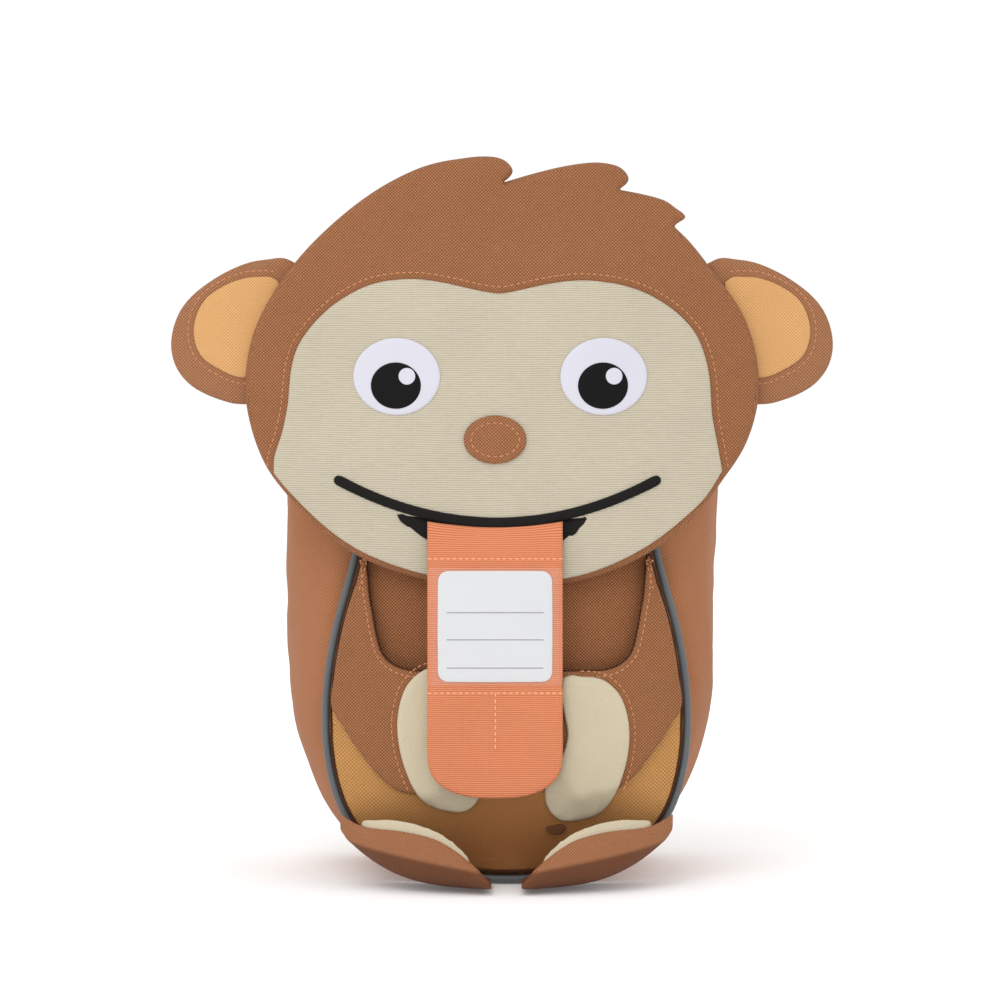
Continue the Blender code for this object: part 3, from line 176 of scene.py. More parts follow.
@dataclass(frozen=True)
class Cloth:
    """A textile, drawn from its real thread spacing.

    Attributes:
        name: Name of the material and how it is made.
        colour: Hex colour of the threads on average.
        dark: Hex colour of the darker threads, and of the painted shade between the threads.
        light: Hex colour of the lighter threads.
        spacing_mm: Distance from thread to thread.
        weave: How its surface is made.
        relief_mm: Height of the threads.
        roughness: Roughness of the fibres.
        sheen: Weight of the fibres' sheen.
        contrast: How much threads differ from each other, and how deep the painted shade between them
            is.
        slub: Share of the tone that comes from uneven threads, the rest from their crossings.
        painted_shade: Painted shade that darkens the colour over the height, if it has one.
    """

    name: str
    colour: str
    dark: str
    light: str
    spacing_mm: float = 0.6
    weave: Weave = Weave.PLAIN
    relief_mm: float = 0.16
    roughness: float = 0.85
    sheen: float = 0.03
    contrast: float = 0.5
    slub: float = 0.45
    painted_shade: Optional[PaintedShade] = None

    def threads(self, tree: bpy.types.NodeTree) -> tuple[bpy.types.NodeSocket, bpy.types.NodeSocket]:
        """Draw the cloth's surface.

        Args:
            tree: The material's tree.

        Returns:
            The surface's height and its tone, both from 0 to 1.
        """
        spacing = self.spacing_mm * MM
        uv = add(tree, "ShaderNodeUVMap", {}, uv_map=CLOTH_UV).outputs[0]
        count = add(tree, "ShaderNodeVectorMath", {0: uv, "Scale": 1 / spacing},
                    operation="SCALE").outputs[0]
        if self.weave is Weave.FELT:
            fine = add(tree, "ShaderNodeTexNoise", {"Vector": count, "Scale": 0.9, "Detail": 5.0,
                                                    "Roughness": 0.72, "Distortion": 0.8})
            return fine.outputs[0], fine.outputs[0]
        wobble = add(tree, "ShaderNodeTexNoise", {"Vector": count, "Scale": 0.06, "Detail": 2.0})
        shift = add(tree, "ShaderNodeVectorMath", {0: wobble.outputs[1], 1: (0.9, 0.9, 0.0),
                                                   2: count}, operation="MULTIPLY_ADD").outputs[0]
        split = add(tree, "ShaderNodeSeparateXYZ", {0: shift})
        across = add(tree, "ShaderNodeMath", {0: split.outputs[0], 1: math.pi}, operation="MULTIPLY")
        along = add(tree, "ShaderNodeMath", {0: split.outputs[1], 1: math.pi}, operation="MULTIPLY")
        warp = add(tree, "ShaderNodeMath", {0: across.outputs[0]}, operation="SINE").outputs[0]
        weft = add(tree, "ShaderNodeMath", {0: along.outputs[0]}, operation="SINE").outputs[0]
        both = add(tree, "ShaderNodeMath", {0: warp, 1: weft}, operation="MULTIPLY").outputs[0]
        size = add(tree, "ShaderNodeMath", {0: both}, operation="ABSOLUTE").outputs[0]
        height = add(tree, "ShaderNodeMath", {0: size, 1: 0.5}, operation="POWER").outputs[0]
        if self.weave in (Weave.RIB, Weave.WEBBING):
            ridge = add(tree, "ShaderNodeMath", {0: weft}, operation="ABSOLUTE").outputs[0]
            crossing = add(tree, "ShaderNodeMath", {0: warp}, operation="ABSOLUTE").outputs[0]
            share = add(tree, "ShaderNodeMath", {0: crossing, 1: 0.35, 2: 0.65},
                        operation="MULTIPLY_ADD").outputs[0]
            height = add(tree, "ShaderNodeMath", {0: ridge, 1: share}, operation="MULTIPLY").outputs[0]
        if self.weave is Weave.MESH:
            holes = add(tree, "ShaderNodeMath", {0: size, 1: 0.55}, operation="LESS_THAN").outputs[0]
            height = add(tree, "ShaderNodeMath", {0: size, 1: 1.6, 2: 0.0}, operation="MULTIPLY_ADD",
                         use_clamp=True).outputs[0]
            height = add(tree, "ShaderNodeMath", {0: holes, 1: height}, operation="MAXIMUM").outputs[0]
        # Slubs are long along their own thread, first the weft's and then the warp's
        tones = []
        for stretch in ((0.16, 0.9, 1.0), (0.9, 0.16, 1.0)):
            stretched = add(tree, "ShaderNodeVectorMath", {0: shift, 1: stretch},
                            operation="MULTIPLY").outputs[0]
            tones.append(add(tree, "ShaderNodeTexNoise", {"Vector": stretched, "Scale": 1.0,
                                                          "Detail": 2.0, "Roughness": 0.7}).outputs[0])
        over = add(tree, "ShaderNodeMapRange", {"Value": both, "From Min": -0.5,
                                                "From Max": 0.5}).outputs[0]
        slub = add(tree, "ShaderNodeMix", {0: over, 2: tones[0], 3: tones[1]},
                   data_type="FLOAT").outputs[0]
        if self.weave is Weave.RIB:
            over, slub = height, tones[0]
        tone = add(tree, "ShaderNodeMix", {0: self.slub, 2: over, 3: slub},
                   data_type="FLOAT").outputs[0]
        return height, tone

    def build(self) -> bpy.types.Material:
        """Make the material.

        Returns:
            The material.
        """
        known = bpy.data.materials.get(self.name)
        if known:
            return known
        material, tree, shader = blank_material(self.name)
        height, tone = self.threads(tree)
        ramp = add(tree, "ShaderNodeValToRGB", {"Fac": tone})
        spread = 0.5 - 0.2 * self.contrast
        stops = ramp.color_ramp.elements
        stops[0].position, stops[1].position = 0.5 - spread, 0.5 + spread
        stops[0].color, stops[1].color = linear(self.dark), linear(self.light)
        middle = stops.new(0.5)
        middle.color = linear(self.colour)
        # Where the threads dip, the colour goes towards the dark one: painted shade in the gaps between
        # threads
        gaps = add(tree, "ShaderNodeMapRange", {"Value": height, "From Min": 0.0, "From Max": 0.55,
                                                "To Min": 0.8 * self.contrast, "To Max": 0.0})
        gap_shaded = add(tree, "ShaderNodeMix", {0: gaps.outputs[0], 6: ramp.outputs[0], 7: linear(self.dark)},
                   data_type="RGBA").outputs[2]
        place = add(tree, "ShaderNodeTexCoord", {}).outputs["Object"]
        cloud = add(tree, "ShaderNodeTexNoise", {"Vector": place, "Scale": 34.0, "Detail": 3.0,
                                                 "Roughness": 0.55}).outputs[0]
        level = add(tree, "ShaderNodeMapRange", {"Value": cloud, "From Min": 0.3, "From Max": 0.7,
                                                 "To Min": 0.97, "To Max": 1.03}).outputs[0]
        colour = add(tree, "ShaderNodeVectorMath", {0: gap_shaded, "Scale": level},
                     operation="SCALE").outputs[0]
        # Painted shade darkens the colour over the height, where the cloth has it
        if self.painted_shade:
            colour = self.with_painted_shade(tree, place, colour)
        tree.links.new(colour, shader.inputs["Base Color"])
        bump = add(tree, "ShaderNodeBump", {"Height": height, "Distance": self.relief_mm * MM,
                                            "Strength": 0.9})
        dent = add(tree, "ShaderNodeBump", {"Height": cloud, "Distance": 0.5 * MM, "Strength": 0.35,
                                            "Normal": bump.outputs[0]})
        tree.links.new(dent.outputs[0], shader.inputs["Normal"])
        shader.inputs["Roughness"].default_value = self.roughness
        shader.inputs["Sheen Weight"].default_value = self.sheen
        shader.inputs["Sheen Roughness"].default_value = 0.45
        shader.inputs["Specular IOR Level"].default_value = 0.12
        return material

    def with_painted_shade(self, tree: bpy.types.NodeTree, place: bpy.types.NodeSocket,
               colour: bpy.types.NodeSocket) -> bpy.types.NodeSocket:
        """Paint shade into the colour over the cloth's height.

        Args:
            tree: The material's tree.
            place: The point's place.
            colour: The cloth's own colour.

        Returns:
            The colour with its painted shade.
        """
        painted_shade = self.painted_shade
        split = add(tree, "ShaderNodeSeparateXYZ", {0: place})
        off = add(tree, "ShaderNodeMath", {0: split.outputs[0], 1: painted_shade.middle or 0.0},
                  operation="SUBTRACT")
        far = add(tree, "ShaderNodeMath", {0: off.outputs[0]}, operation="ABSOLUTE").outputs[0]
        level = add(tree, "ShaderNodeMath", {0: far, 1: -painted_shade.tilt, 2: split.outputs[2]},
                    operation="MULTIPLY_ADD").outputs[0]
        amount = add(tree, "ShaderNodeMapRange",
                     {"Value": level, "From Min": painted_shade.low, "From Max": painted_shade.high,
                      "To Min": painted_shade.amount, "To Max": 0.0}, interpolation_type="SMOOTHSTEP").outputs[0]
        if painted_shade.middle is not None:
            near = add(tree, "ShaderNodeMapRange",
                       {"Value": far, "From Min": 0.15 * painted_shade.reach, "From Max": painted_shade.reach,
                        "To Min": 1.0, "To Max": 0.0}, interpolation_type="SMOOTHSTEP").outputs[0]
            amount = add(tree, "ShaderNodeMath", {0: amount, 1: near}, operation="MULTIPLY").outputs[0]
        return add(tree, "ShaderNodeMix", {0: amount, 6: colour, 7: linear(painted_shade.colour)},
                   data_type="RGBA").outputs[2]


@dataclass(frozen=True)
class Smooth:
    """A smooth finish: print, card, plastic, coated piping or thread.

    Attributes:
        name: Name of the material and how it is made.
        colour: Hex colour.
        roughness: Mean roughness.
        grain_mm: Size of its grain.
        grain: Height of its grain in mm.
        mottle: Share by which its lightness varies.
        coat: Weight of a clear coat.
        shine: Level of its reflections.
        rules: Heights of thin ruled lines, and their left and right ends.
        rule_half: Half a line's thickness.
        rule_colour: Hex colour of the lines.
    """

    name: str
    colour: str
    roughness: float = 0.5
    grain_mm: float = 0.5
    grain: float = 0.02
    mottle: float = 0.04
    coat: float = 0.0
    shine: float = 0.3
    rules: tuple[tuple[float, float, float], ...] = ()
    rule_half: float = 0.00022
    rule_colour: str = "8f9297"

    def build(self) -> bpy.types.Material:
        """Make the material.

        Returns:
            The material.
        """
        known = bpy.data.materials.get(self.name)
        if known:
            return known
        material, tree, shader = blank_material(self.name)
        place = add(tree, "ShaderNodeTexCoord", {}).outputs["Object"]
        grain = add(tree, "ShaderNodeTexNoise", {"Vector": place, "Scale": 1 / (self.grain_mm * MM),
                                                 "Detail": 3.0, "Roughness": 0.6}).outputs[0]
        cloud = add(tree, "ShaderNodeTexNoise", {"Vector": place, "Scale": 60.0,
                                                 "Detail": 2.0}).outputs[0]
        level = add(tree, "ShaderNodeMapRange", {"Value": cloud, "From Min": 0.3, "From Max": 0.7,
                                                 "To Min": 1 - self.mottle, "To Max": 1 + self.mottle})
        flat = linear(self.colour)[:3]
        colour = add(tree, "ShaderNodeVectorMath", {0: flat, "Scale": level.outputs[0]},
                     operation="SCALE").outputs[0]
        split = add(tree, "ShaderNodeSeparateXYZ", {0: place}) if self.rules else None
        for height, left, right in self.rules:
            on = add(tree, "ShaderNodeMath", {0: split.outputs[2], 1: height, 2: self.rule_half},
                     operation="COMPARE")
            span = add(tree, "ShaderNodeMath", {0: split.outputs[0], 1: (left + right) / 2,
                                                2: (right - left) / 2}, operation="COMPARE")
            line = add(tree, "ShaderNodeMath", {0: on.outputs[0], 1: span.outputs[0]},
                       operation="MULTIPLY")
            colour = add(tree, "ShaderNodeMix",
                         {0: line.outputs[0], 6: colour, 7: linear(self.rule_colour)},
                         data_type="RGBA").outputs[2]
        tree.links.new(colour, shader.inputs["Base Color"])
        rough = add(tree, "ShaderNodeMapRange", {"Value": grain, "To Min": self.roughness - 0.08,
                                                 "To Max": self.roughness + 0.08}).outputs[0]
        tree.links.new(rough, shader.inputs["Roughness"])
        bump = add(tree, "ShaderNodeBump", {"Height": grain, "Distance": self.grain * MM,
                                            "Strength": 0.6})
        tree.links.new(bump.outputs[0], shader.inputs["Normal"])
        shader.inputs["Coat Weight"].default_value = self.coat
        shader.inputs["Specular IOR Level"].default_value = self.shine
        shader.inputs["Coat Roughness"].default_value = 0.12
        return material


@dataclass(frozen=True)
class ClearFilm:
    """Clear glossy vinyl film.

    Attributes:
        name: Name of the material.
        alpha: How much of it shows, as haze.
    """

    name: str = "clear pressed vinyl film"
    alpha: float = 0.04

    def build(self) -> bpy.types.Material:
        """Make the material.

        Returns:
            The material.
        """
        material, tree, shader = blank_material(self.name)
        place = add(tree, "ShaderNodeTexCoord", {}).outputs["Object"]
        waves = add(tree, "ShaderNodeTexNoise", {"Vector": place, "Scale": 90.0,
                                                 "Detail": 1.0}).outputs[0]
        bump = add(tree, "ShaderNodeBump", {"Height": waves, "Distance": 0.4 * MM, "Strength": 0.5})
        tree.links.new(bump.outputs[0], shader.inputs["Normal"])
        shader.inputs["Base Color"].default_value = linear("f6efec")
        shader.inputs["Roughness"].default_value = 0.09
        shader.inputs["Alpha"].default_value = self.alpha
        shader.inputs["Specular IOR Level"].default_value = 0.7
        return material


class Finish:
    """The backpack's finishes, each named for its real material and making, save the two dark ones that
    are only painted shade.

    A pixel of the picture shows 0.36 mm. Real canvas threads are finer than would show at that size,
    so every spacing here is drawn as coarse as it needs to be.
    """

    # Woven polyester canvas: matt, with a fine grain of light and dark threads
    HEAD = Cloth("woven brown polyester canvas", "976545", "6f4429", "b47c56", contrast=0.6)
    EAR = Cloth("woven brown polyester canvas of the ears", "a16f4f", "7a4e34", "b88460", contrast=0.5)
    GUSSET = Cloth("finely woven brown lining cloth of the sides", "a16a48", "8a5737", "b17a57",
                   spacing_mm=0.6, relief_mm=0.06, contrast=0.25, roughness=0.7)
    PANEL = Cloth("woven dark brown polyester canvas", "996341", "683c21", "b88059", contrast=0.7)
    ARM = Cloth("woven brown polyester canvas of the arms", "946241", "6e4429", "b27c56", contrast=0.6)
    # The feet's canvas goes dark below its crease: painted shade on the lower band, which faces down
    FOOT = Cloth("finely woven brown canvas of the feet", "9a6849", "7a4b31", "ac7855", contrast=0.35,
                 spacing_mm=0.55, relief_mm=0.09,
                 painted_shade=PaintedShade("54301f", 0.0058, 0.0078, 0.7, 0.0016, 10.0, 0.177))
    # Plain-woven tan cloth, darkened between the feet by painted shade, so that it is brighter at the
    # sides
    BELLY = Cloth("plain-woven tan cloth", "b8864f", "93663a", "cf9c63", spacing_mm=0.7, relief_mm=0.1,
                  contrast=0.35, painted_shade=PaintedShade("9a663b", 0.012, 0.075, 0.95, 0.0016, 0.055))
    EAR_TAN = Cloth("plain-woven tan cloth of the ears", "cf9d68", "b98650", "deb07a", spacing_mm=0.6,
                    relief_mm=0.08, contrast=0.25)
    # Ribbed canvas: cream weft ribs with darker slubs that run across the face
    FACE = Cloth("ribbed cream polyester canvas", "bbb29e", "9a8d77", "c8c0ae", spacing_mm=0.8,
                 weave=Weave.RIB, relief_mm=0.1, contrast=0.4, slub=0.4)
    # Pressed felt: matt, with short tangled fibres
    FELT = Cloth("pressed cream felt", "c3b79d", "aea289", "d0c6b0", spacing_mm=0.45, weave=Weave.FELT,
                 relief_mm=0.1, sheen=0.1, roughness=0.95, contrast=0.25)
    # Coral canvas of the tongue, with weft ribs and few slubs
    TONGUE = Cloth("ribbed coral polyester canvas", "cf7e59", "a55c3a", "de8f69", spacing_mm=0.75,
                   weave=Weave.RIB, relief_mm=0.1, contrast=0.35, slub=0.15)
    NOSE = Cloth("woven brown polyester canvas of the nose", "9b6848", "72472c", "b47d58", contrast=0.55)
    STRAP = Cloth("woven brown polyester canvas of the straps", "8f6248", "6c442d", "a87b5b",
                  contrast=0.5)
    # Narrow webbing: thick ribs with a slight gloss
    WEBBING = Cloth("ribbed brown polypropylene webbing", "6e4a36", "4c3021", "86604a", spacing_mm=1.1,
                    weave=Weave.WEBBING, relief_mm=0.3, contrast=0.5, roughness=0.6)
    # Spacer mesh: round holes that look dark between its threads
    BACK = Cloth("knitted brown spacer mesh", "7c5840", "4a3020", "916a50", spacing_mm=1.5,
                 weave=Weave.MESH, relief_mm=0.6, contrast=0.9)
    MOUTH = Cloth("black twill tape", "141312", "0b0a09", "1f1d1b", spacing_mm=0.5, relief_mm=0.05,
                  roughness=0.55, contrast=0.3)
    # Dark cords that are painted shade in the turn of a hem or seam
    HEM_SHADE = Cloth("painted shade in the turn of a hem", "4a2c1c", "341e12", "5f3a26", spacing_mm=0.6,
                contrast=0.3)
    # A small dark oval that is painted shade under the right hand's tip
    SHADE_SPOT = Cloth("painted shade under the right hand", "6b442a", "523220", "7c5236", contrast=0.3)
    PILE = Cloth("brown looped closure pile", "6b4a35", "4a3020", "80593f", spacing_mm=0.6,
                 weave=Weave.FELT, relief_mm=0.3, contrast=0.6)
    # Satin print on cloth: flat colour with a soft gloss
    WHITE = Smooth("white satin print", "cac9d3", roughness=0.42, grain_mm=0.4, mottle=0.01, shine=0.2)
    BLACK = Smooth("black satin print", "0c0c0c", roughness=0.45, grain_mm=0.4, shine=0.12)
    # Piping has a smooth coated skin over a round cord
    PIPING = Smooth("grey coated piping", "5a5c5e", roughness=0.4, grain_mm=1.2, grain=0.05, coat=0.1)
    # Twisted thread: matt and a little uneven
    THREAD = Smooth("twisted light brown polyester thread", "c2845d", roughness=0.6, grain_mm=0.3,
                    grain=0.1, mottle=0.08)
    CORAL_THREAD = Smooth("twisted coral polyester thread", "f0a883", roughness=0.6, grain_mm=0.3,
                          grain=0.1)
    # Moulded acetal: even, with a soft gloss
    PLASTIC = Smooth("moulded dark brown acetal", "33291f", roughness=0.4, grain_mm=0.3, grain=0.03)
    FILM = ClearFilm()


# Outlines, carriers and meshes

def merged(node: str) -> bmesh.types.BMesh:
    """Read a CAD node as one joined mesh.

    Args:
        node: The node's name.

    Returns:
        A mesh whose triangles share their points.
    """
    shape = bmesh.new()
    shape.from_mesh(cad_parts[node].data)
    bmesh.ops.remove_doubles(shape, verts=shape.verts, dist=1e-6)
    shape.normal_update()
    return shape


def cross2(a: np.ndarray, b: np.ndarray) -> np.ndarray:
    """Cross product of plane vectors."""
    return a[..., 0] * b[..., 1] - a[..., 1] * b[..., 0]


@dataclass
class Outline:
    """A closed outline in the front view.

    Attributes:
        points: Its corners, counter-clockwise, as across and up.
    """

    points: np.ndarray

    @classmethod
    def of(cls, node: str, spacing: float = 1.3 * MM, soft_tips: bool = False) -> list["Outline"]:
        """Read a flat node's outline and holes, and round them between their marks.

        Args:
            node: The CAD node's name.
            spacing: Distance between the points.
            soft_tips: True to round the corners that stand out.

        Returns:
            The outline, then its holes.
        """
        shape = merged(node)
        front = {face.index for face in shape.faces if face.normal.y < -0.15}
        steps: dict[int, int] = {}
        for face in shape.faces:
            if face.index not in front:
                continue
            for loop in face.loops:
                others = [other.index for other in loop.edge.link_faces if other.index != face.index]
                if not any(index in front for index in others):
                    steps[loop.vert.index] = loop.link_loop_next.vert.index
        places = {vert.index: (vert.co.x, vert.co.z) for vert in shape.verts}
        shape.free()
        loops = []
        while steps:
            first, here = next(iter(steps.items()))
            del steps[first]
            loop = [places[first]]
            while here != first and here in steps:
                loop.append(places[here])
                here = steps.pop(here)
            loops.append(cls(np.array(loop)).rounded(spacing, soft_tips=soft_tips))
        loops.sort(key=lambda loop: -abs(loop.area()))
        return loops

    def area(self) -> float:
        """Area inside the outline."""
        return float(cross2(self.points, np.roll(self.points, -1, axis=0)).sum() / 2)

    def rounded(self, spacing: float, corner_degrees: float = 38.0,
                soft_tips: bool = False) -> "Outline":
        """Lay a smooth curve through the points, but keep real corners.

        Args:
            spacing: Distance between the new points.
            corner_degrees: A turn sharper than this stays a corner.
            soft_tips: True to round the corners that stand out, and keep the notches alone.

        Returns:
            The finer outline.
        """
        spots = self.points
        ahead, behind = np.roll(spots, -1, axis=0) - spots, spots - np.roll(spots, 1, axis=0)
        turn = np.degrees(np.arctan2(cross2(behind, ahead), (behind * ahead).sum(axis=1)))
        outwards = turn * (1 if self.area() > 0 else -1) > 0
        sharp = (np.abs(turn) > corner_degrees) & ~(outwards & soft_tips)
        pull = np.roll(spots, -1, axis=0) - np.roll(spots, 1, axis=0)
        pull /= np.linalg.norm(pull, axis=1, keepdims=True)
        fine = []
        for i in range(len(spots)):
            j = (i + 1) % len(spots)
            chord = spots[j] - spots[i]
            size = float(np.linalg.norm(chord))
            lead = chord if sharp[i] else pull[i] * size
            tail = chord if sharp[j] else pull[j] * size
            for k in range(max(1, round(size / spacing))):
                t = k / max(1, round(size / spacing))
                fine.append((2 * t ** 3 - 3 * t ** 2 + 1) * spots[i] + (t ** 3 - 2 * t ** 2 + t) * lead
                            + (3 * t ** 2 - 2 * t ** 3) * spots[j] + (t ** 3 - t ** 2) * tail)
        return Outline(np.array(fine))

    def moved(self, out: float) -> np.ndarray:
        """Move the outline outwards, or inwards where negative.

        Args:
            out: The distance.

        Returns:
            The moved points.
        """
        run = np.roll(self.points, -1, axis=0) - np.roll(self.points, 1, axis=0)
        run /= np.linalg.norm(run, axis=1, keepdims=True) + 1e-12
        away = np.stack([run[:, 1], -run[:, 0]], axis=1) * (1 if self.area() > 0 else -1)
        return self.points + away * out

    def inside(self, spots: np.ndarray) -> np.ndarray:
        """Say which points lie inside.

        Args:
            spots: Points to test.

        Returns:
            True or False for each.
        """
        a, b = self.points, np.roll(self.points, -1, axis=0)
        x, z = spots[:, None, 0], spots[:, None, 1]
        crosses = (a[:, 1] > z) != (b[:, 1] > z)
        rise = np.where(b[:, 1] == a[:, 1], 1e-12, b[:, 1] - a[:, 1])
        left = x < (b[:, 0] - a[:, 0]) * (z - a[:, 1]) / rise + a[:, 0]
        return (crosses & left).sum(axis=1) % 2 == 1

    def distance(self, spots: np.ndarray) -> np.ndarray:
        """Distance of points to the outline.

        Args:
            spots: Points to measure.

        Returns:
            The distances.
        """
        a, run = self.points, np.roll(self.points, -1, axis=0) - self.points
        away = spots[:, None, :] - a
        share = np.clip((away * run).sum(axis=2) / ((run ** 2).sum(axis=1) + 1e-18), 0, 1)
        return np.linalg.norm(away - share[..., None] * run, axis=2).min(axis=1)


class Carrier:
    """What a sewn piece lies on: it gives the front or back surface of some pieces.

    Attributes:
        RAY_FROM: Distance from the middle at which the rays start.
        NEAREST_FROM: Where a ray misses, the surface's nearest point to this distance is taken.
    """

    RAY_FROM = 0.5
    NEAREST_FROM = 0.07

    def __init__(self, pieces: Iterable[Union[str, bpy.types.Object]]) -> None:
        """Read the pieces.

        Args:
            pieces: Objects, or names of CAD nodes.
        """
        points: list[Vector] = []
        faces: list[list[int]] = []
        for piece in pieces:
            mesh = (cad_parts[piece] if isinstance(piece, str) else piece).data
            first = len(points)
            points += [vert.co.copy() for vert in mesh.vertices]
            faces += [[first + i for i in face.vertices] for face in mesh.polygons]
        self.tree = BVHTree.FromPolygons(points, faces)

    def depth(self, spots: np.ndarray, surface: Surface = Surface.FRONT) -> np.ndarray:
        """Read the surface's depth at points of the front view.

        Args:
            spots: Points, as across and up.
            surface: The surface that is read.

        Returns:
            The surface's y at each point.
        """
        way = surface.value
        found = []
        for x, z in spots:
            hit = self.tree.ray_cast(Vector((x, way * self.RAY_FROM, z)), Vector((0, -way, 0)))[0]
            if hit is None:
                hit = self.tree.find_nearest(Vector((x, way * self.NEAREST_FROM, z)))[0]
            found.append(hit.y)
        return np.array(found)


def lay_cloth(piece: bpy.types.Object) -> None:
    """Give a mesh its cloth coordinates in metres, each face along the axes that it faces least.

    Args:
        piece: The mesh object.
    """
    mesh = piece.data
    layer = mesh.uv_layers.get(CLOTH_UV) or mesh.uv_layers.new(name=CLOTH_UV)
    places = np.empty(len(mesh.vertices) * 3)
    mesh.vertices.foreach_get("co", places)
    places = places.reshape(-1, 3)
    corners = np.empty(len(mesh.loops), dtype=np.int32)
    mesh.loops.foreach_get("vertex_index", corners)
    normals = np.empty(len(mesh.polygons) * 3)
    mesh.polygons.foreach_get("normal", normals)
    sizes = np.empty(len(mesh.polygons), dtype=np.int32)
    mesh.polygons.foreach_get("loop_total", sizes)
    most = np.repeat(np.abs(normals.reshape(-1, 3)).argmax(axis=1), sizes)
    spots = places[corners]
    u = np.where(most == 0, spots[:, 1], spots[:, 0])
    v = np.where(most == 2, spots[:, 1], spots[:, 2])
    layer.data.foreach_set("uv", np.stack([u, v], axis=1).ravel())


def placed(name: str, data: bpy.types.ID) -> bpy.types.Object:
    """Put a mesh, curve, camera or light in the scene.

    Args:
        name: The object's name.
        data: What it shows.

    Returns:
        The object.
    """
    thing = bpy.data.objects.new(name, data)
    bpy.context.scene.collection.objects.link(thing)
    return thing


def new_piece(name: str, points: Sequence[Sequence[float]], faces: Sequence[Sequence[int]],
              finish: Union[Cloth, Smooth, ClearFilm]) -> bpy.types.Object:
    """Make a mesh object with its finish and cloth coordinates.

    Args:
        name: The piece's name.
        points: Its points.
        faces: Its faces.
        finish: Its finish.

    Returns:
        The object.
    """
    mesh = bpy.data.meshes.new(name)
    mesh.from_pydata([tuple(point) for point in points], [], [list(face) for face in faces])
    shape = bmesh.new()
    shape.from_mesh(mesh)
    bmesh.ops.recalc_face_normals(shape, faces=shape.faces)
    shape.to_mesh(mesh)
    shape.free()
    mesh.shade_smooth()
    mesh.materials.append(finish.build())
    piece = placed(name, mesh)
    lay_cloth(piece)
    return piece


def subdivided(piece: bpy.types.Object, levels: int = 1) -> None:
    """Round a piece off by subdivision, as plain mesh, and lay its cloth again.

    Args:
        piece: The object.
        levels: Levels of subdivision.
    """
    rounding = piece.modifiers.new("rounding", "SUBSURF")
    rounding.levels = rounding.render_levels = levels
    graph = bpy.context.evaluated_depsgraph_get()
    mesh = bpy.data.meshes.new_from_object(piece.evaluated_get(graph))
    piece.modifiers.clear()
    piece.data = mesh
    mesh.shade_smooth()
    lay_cloth(piece)


def dressed(piece: bpy.types.Object, nodes: Sequence[str] = ()) -> bpy.types.Object:
    """Hand a finished piece to the frame.

    Args:
        piece: The piece.
        nodes: CAD nodes that it stands for.

    Returns:
        The piece.
    """
    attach(piece, BODY)
    if nodes:
        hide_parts(*nodes)
    LOG.info("%s: %d faces", piece.name, len(piece.data.polygons))
    return piece


def ripple(spots: np.ndarray, size: float, seed: float) -> np.ndarray:
    """Smooth noise over points.

    Args:
        spots: Points with two or three coordinates.
        size: Size of the ripples.
        seed: Shifts the noise.

    Returns:
        Values of about -1 to 1.
    """
    padded = np.zeros((len(spots), 3))
    padded[:, :spots.shape[1]] = spots / size
    return np.array([noise.noise(Vector(spot) + Vector((seed, 2 * seed, -seed))) for spot in padded])


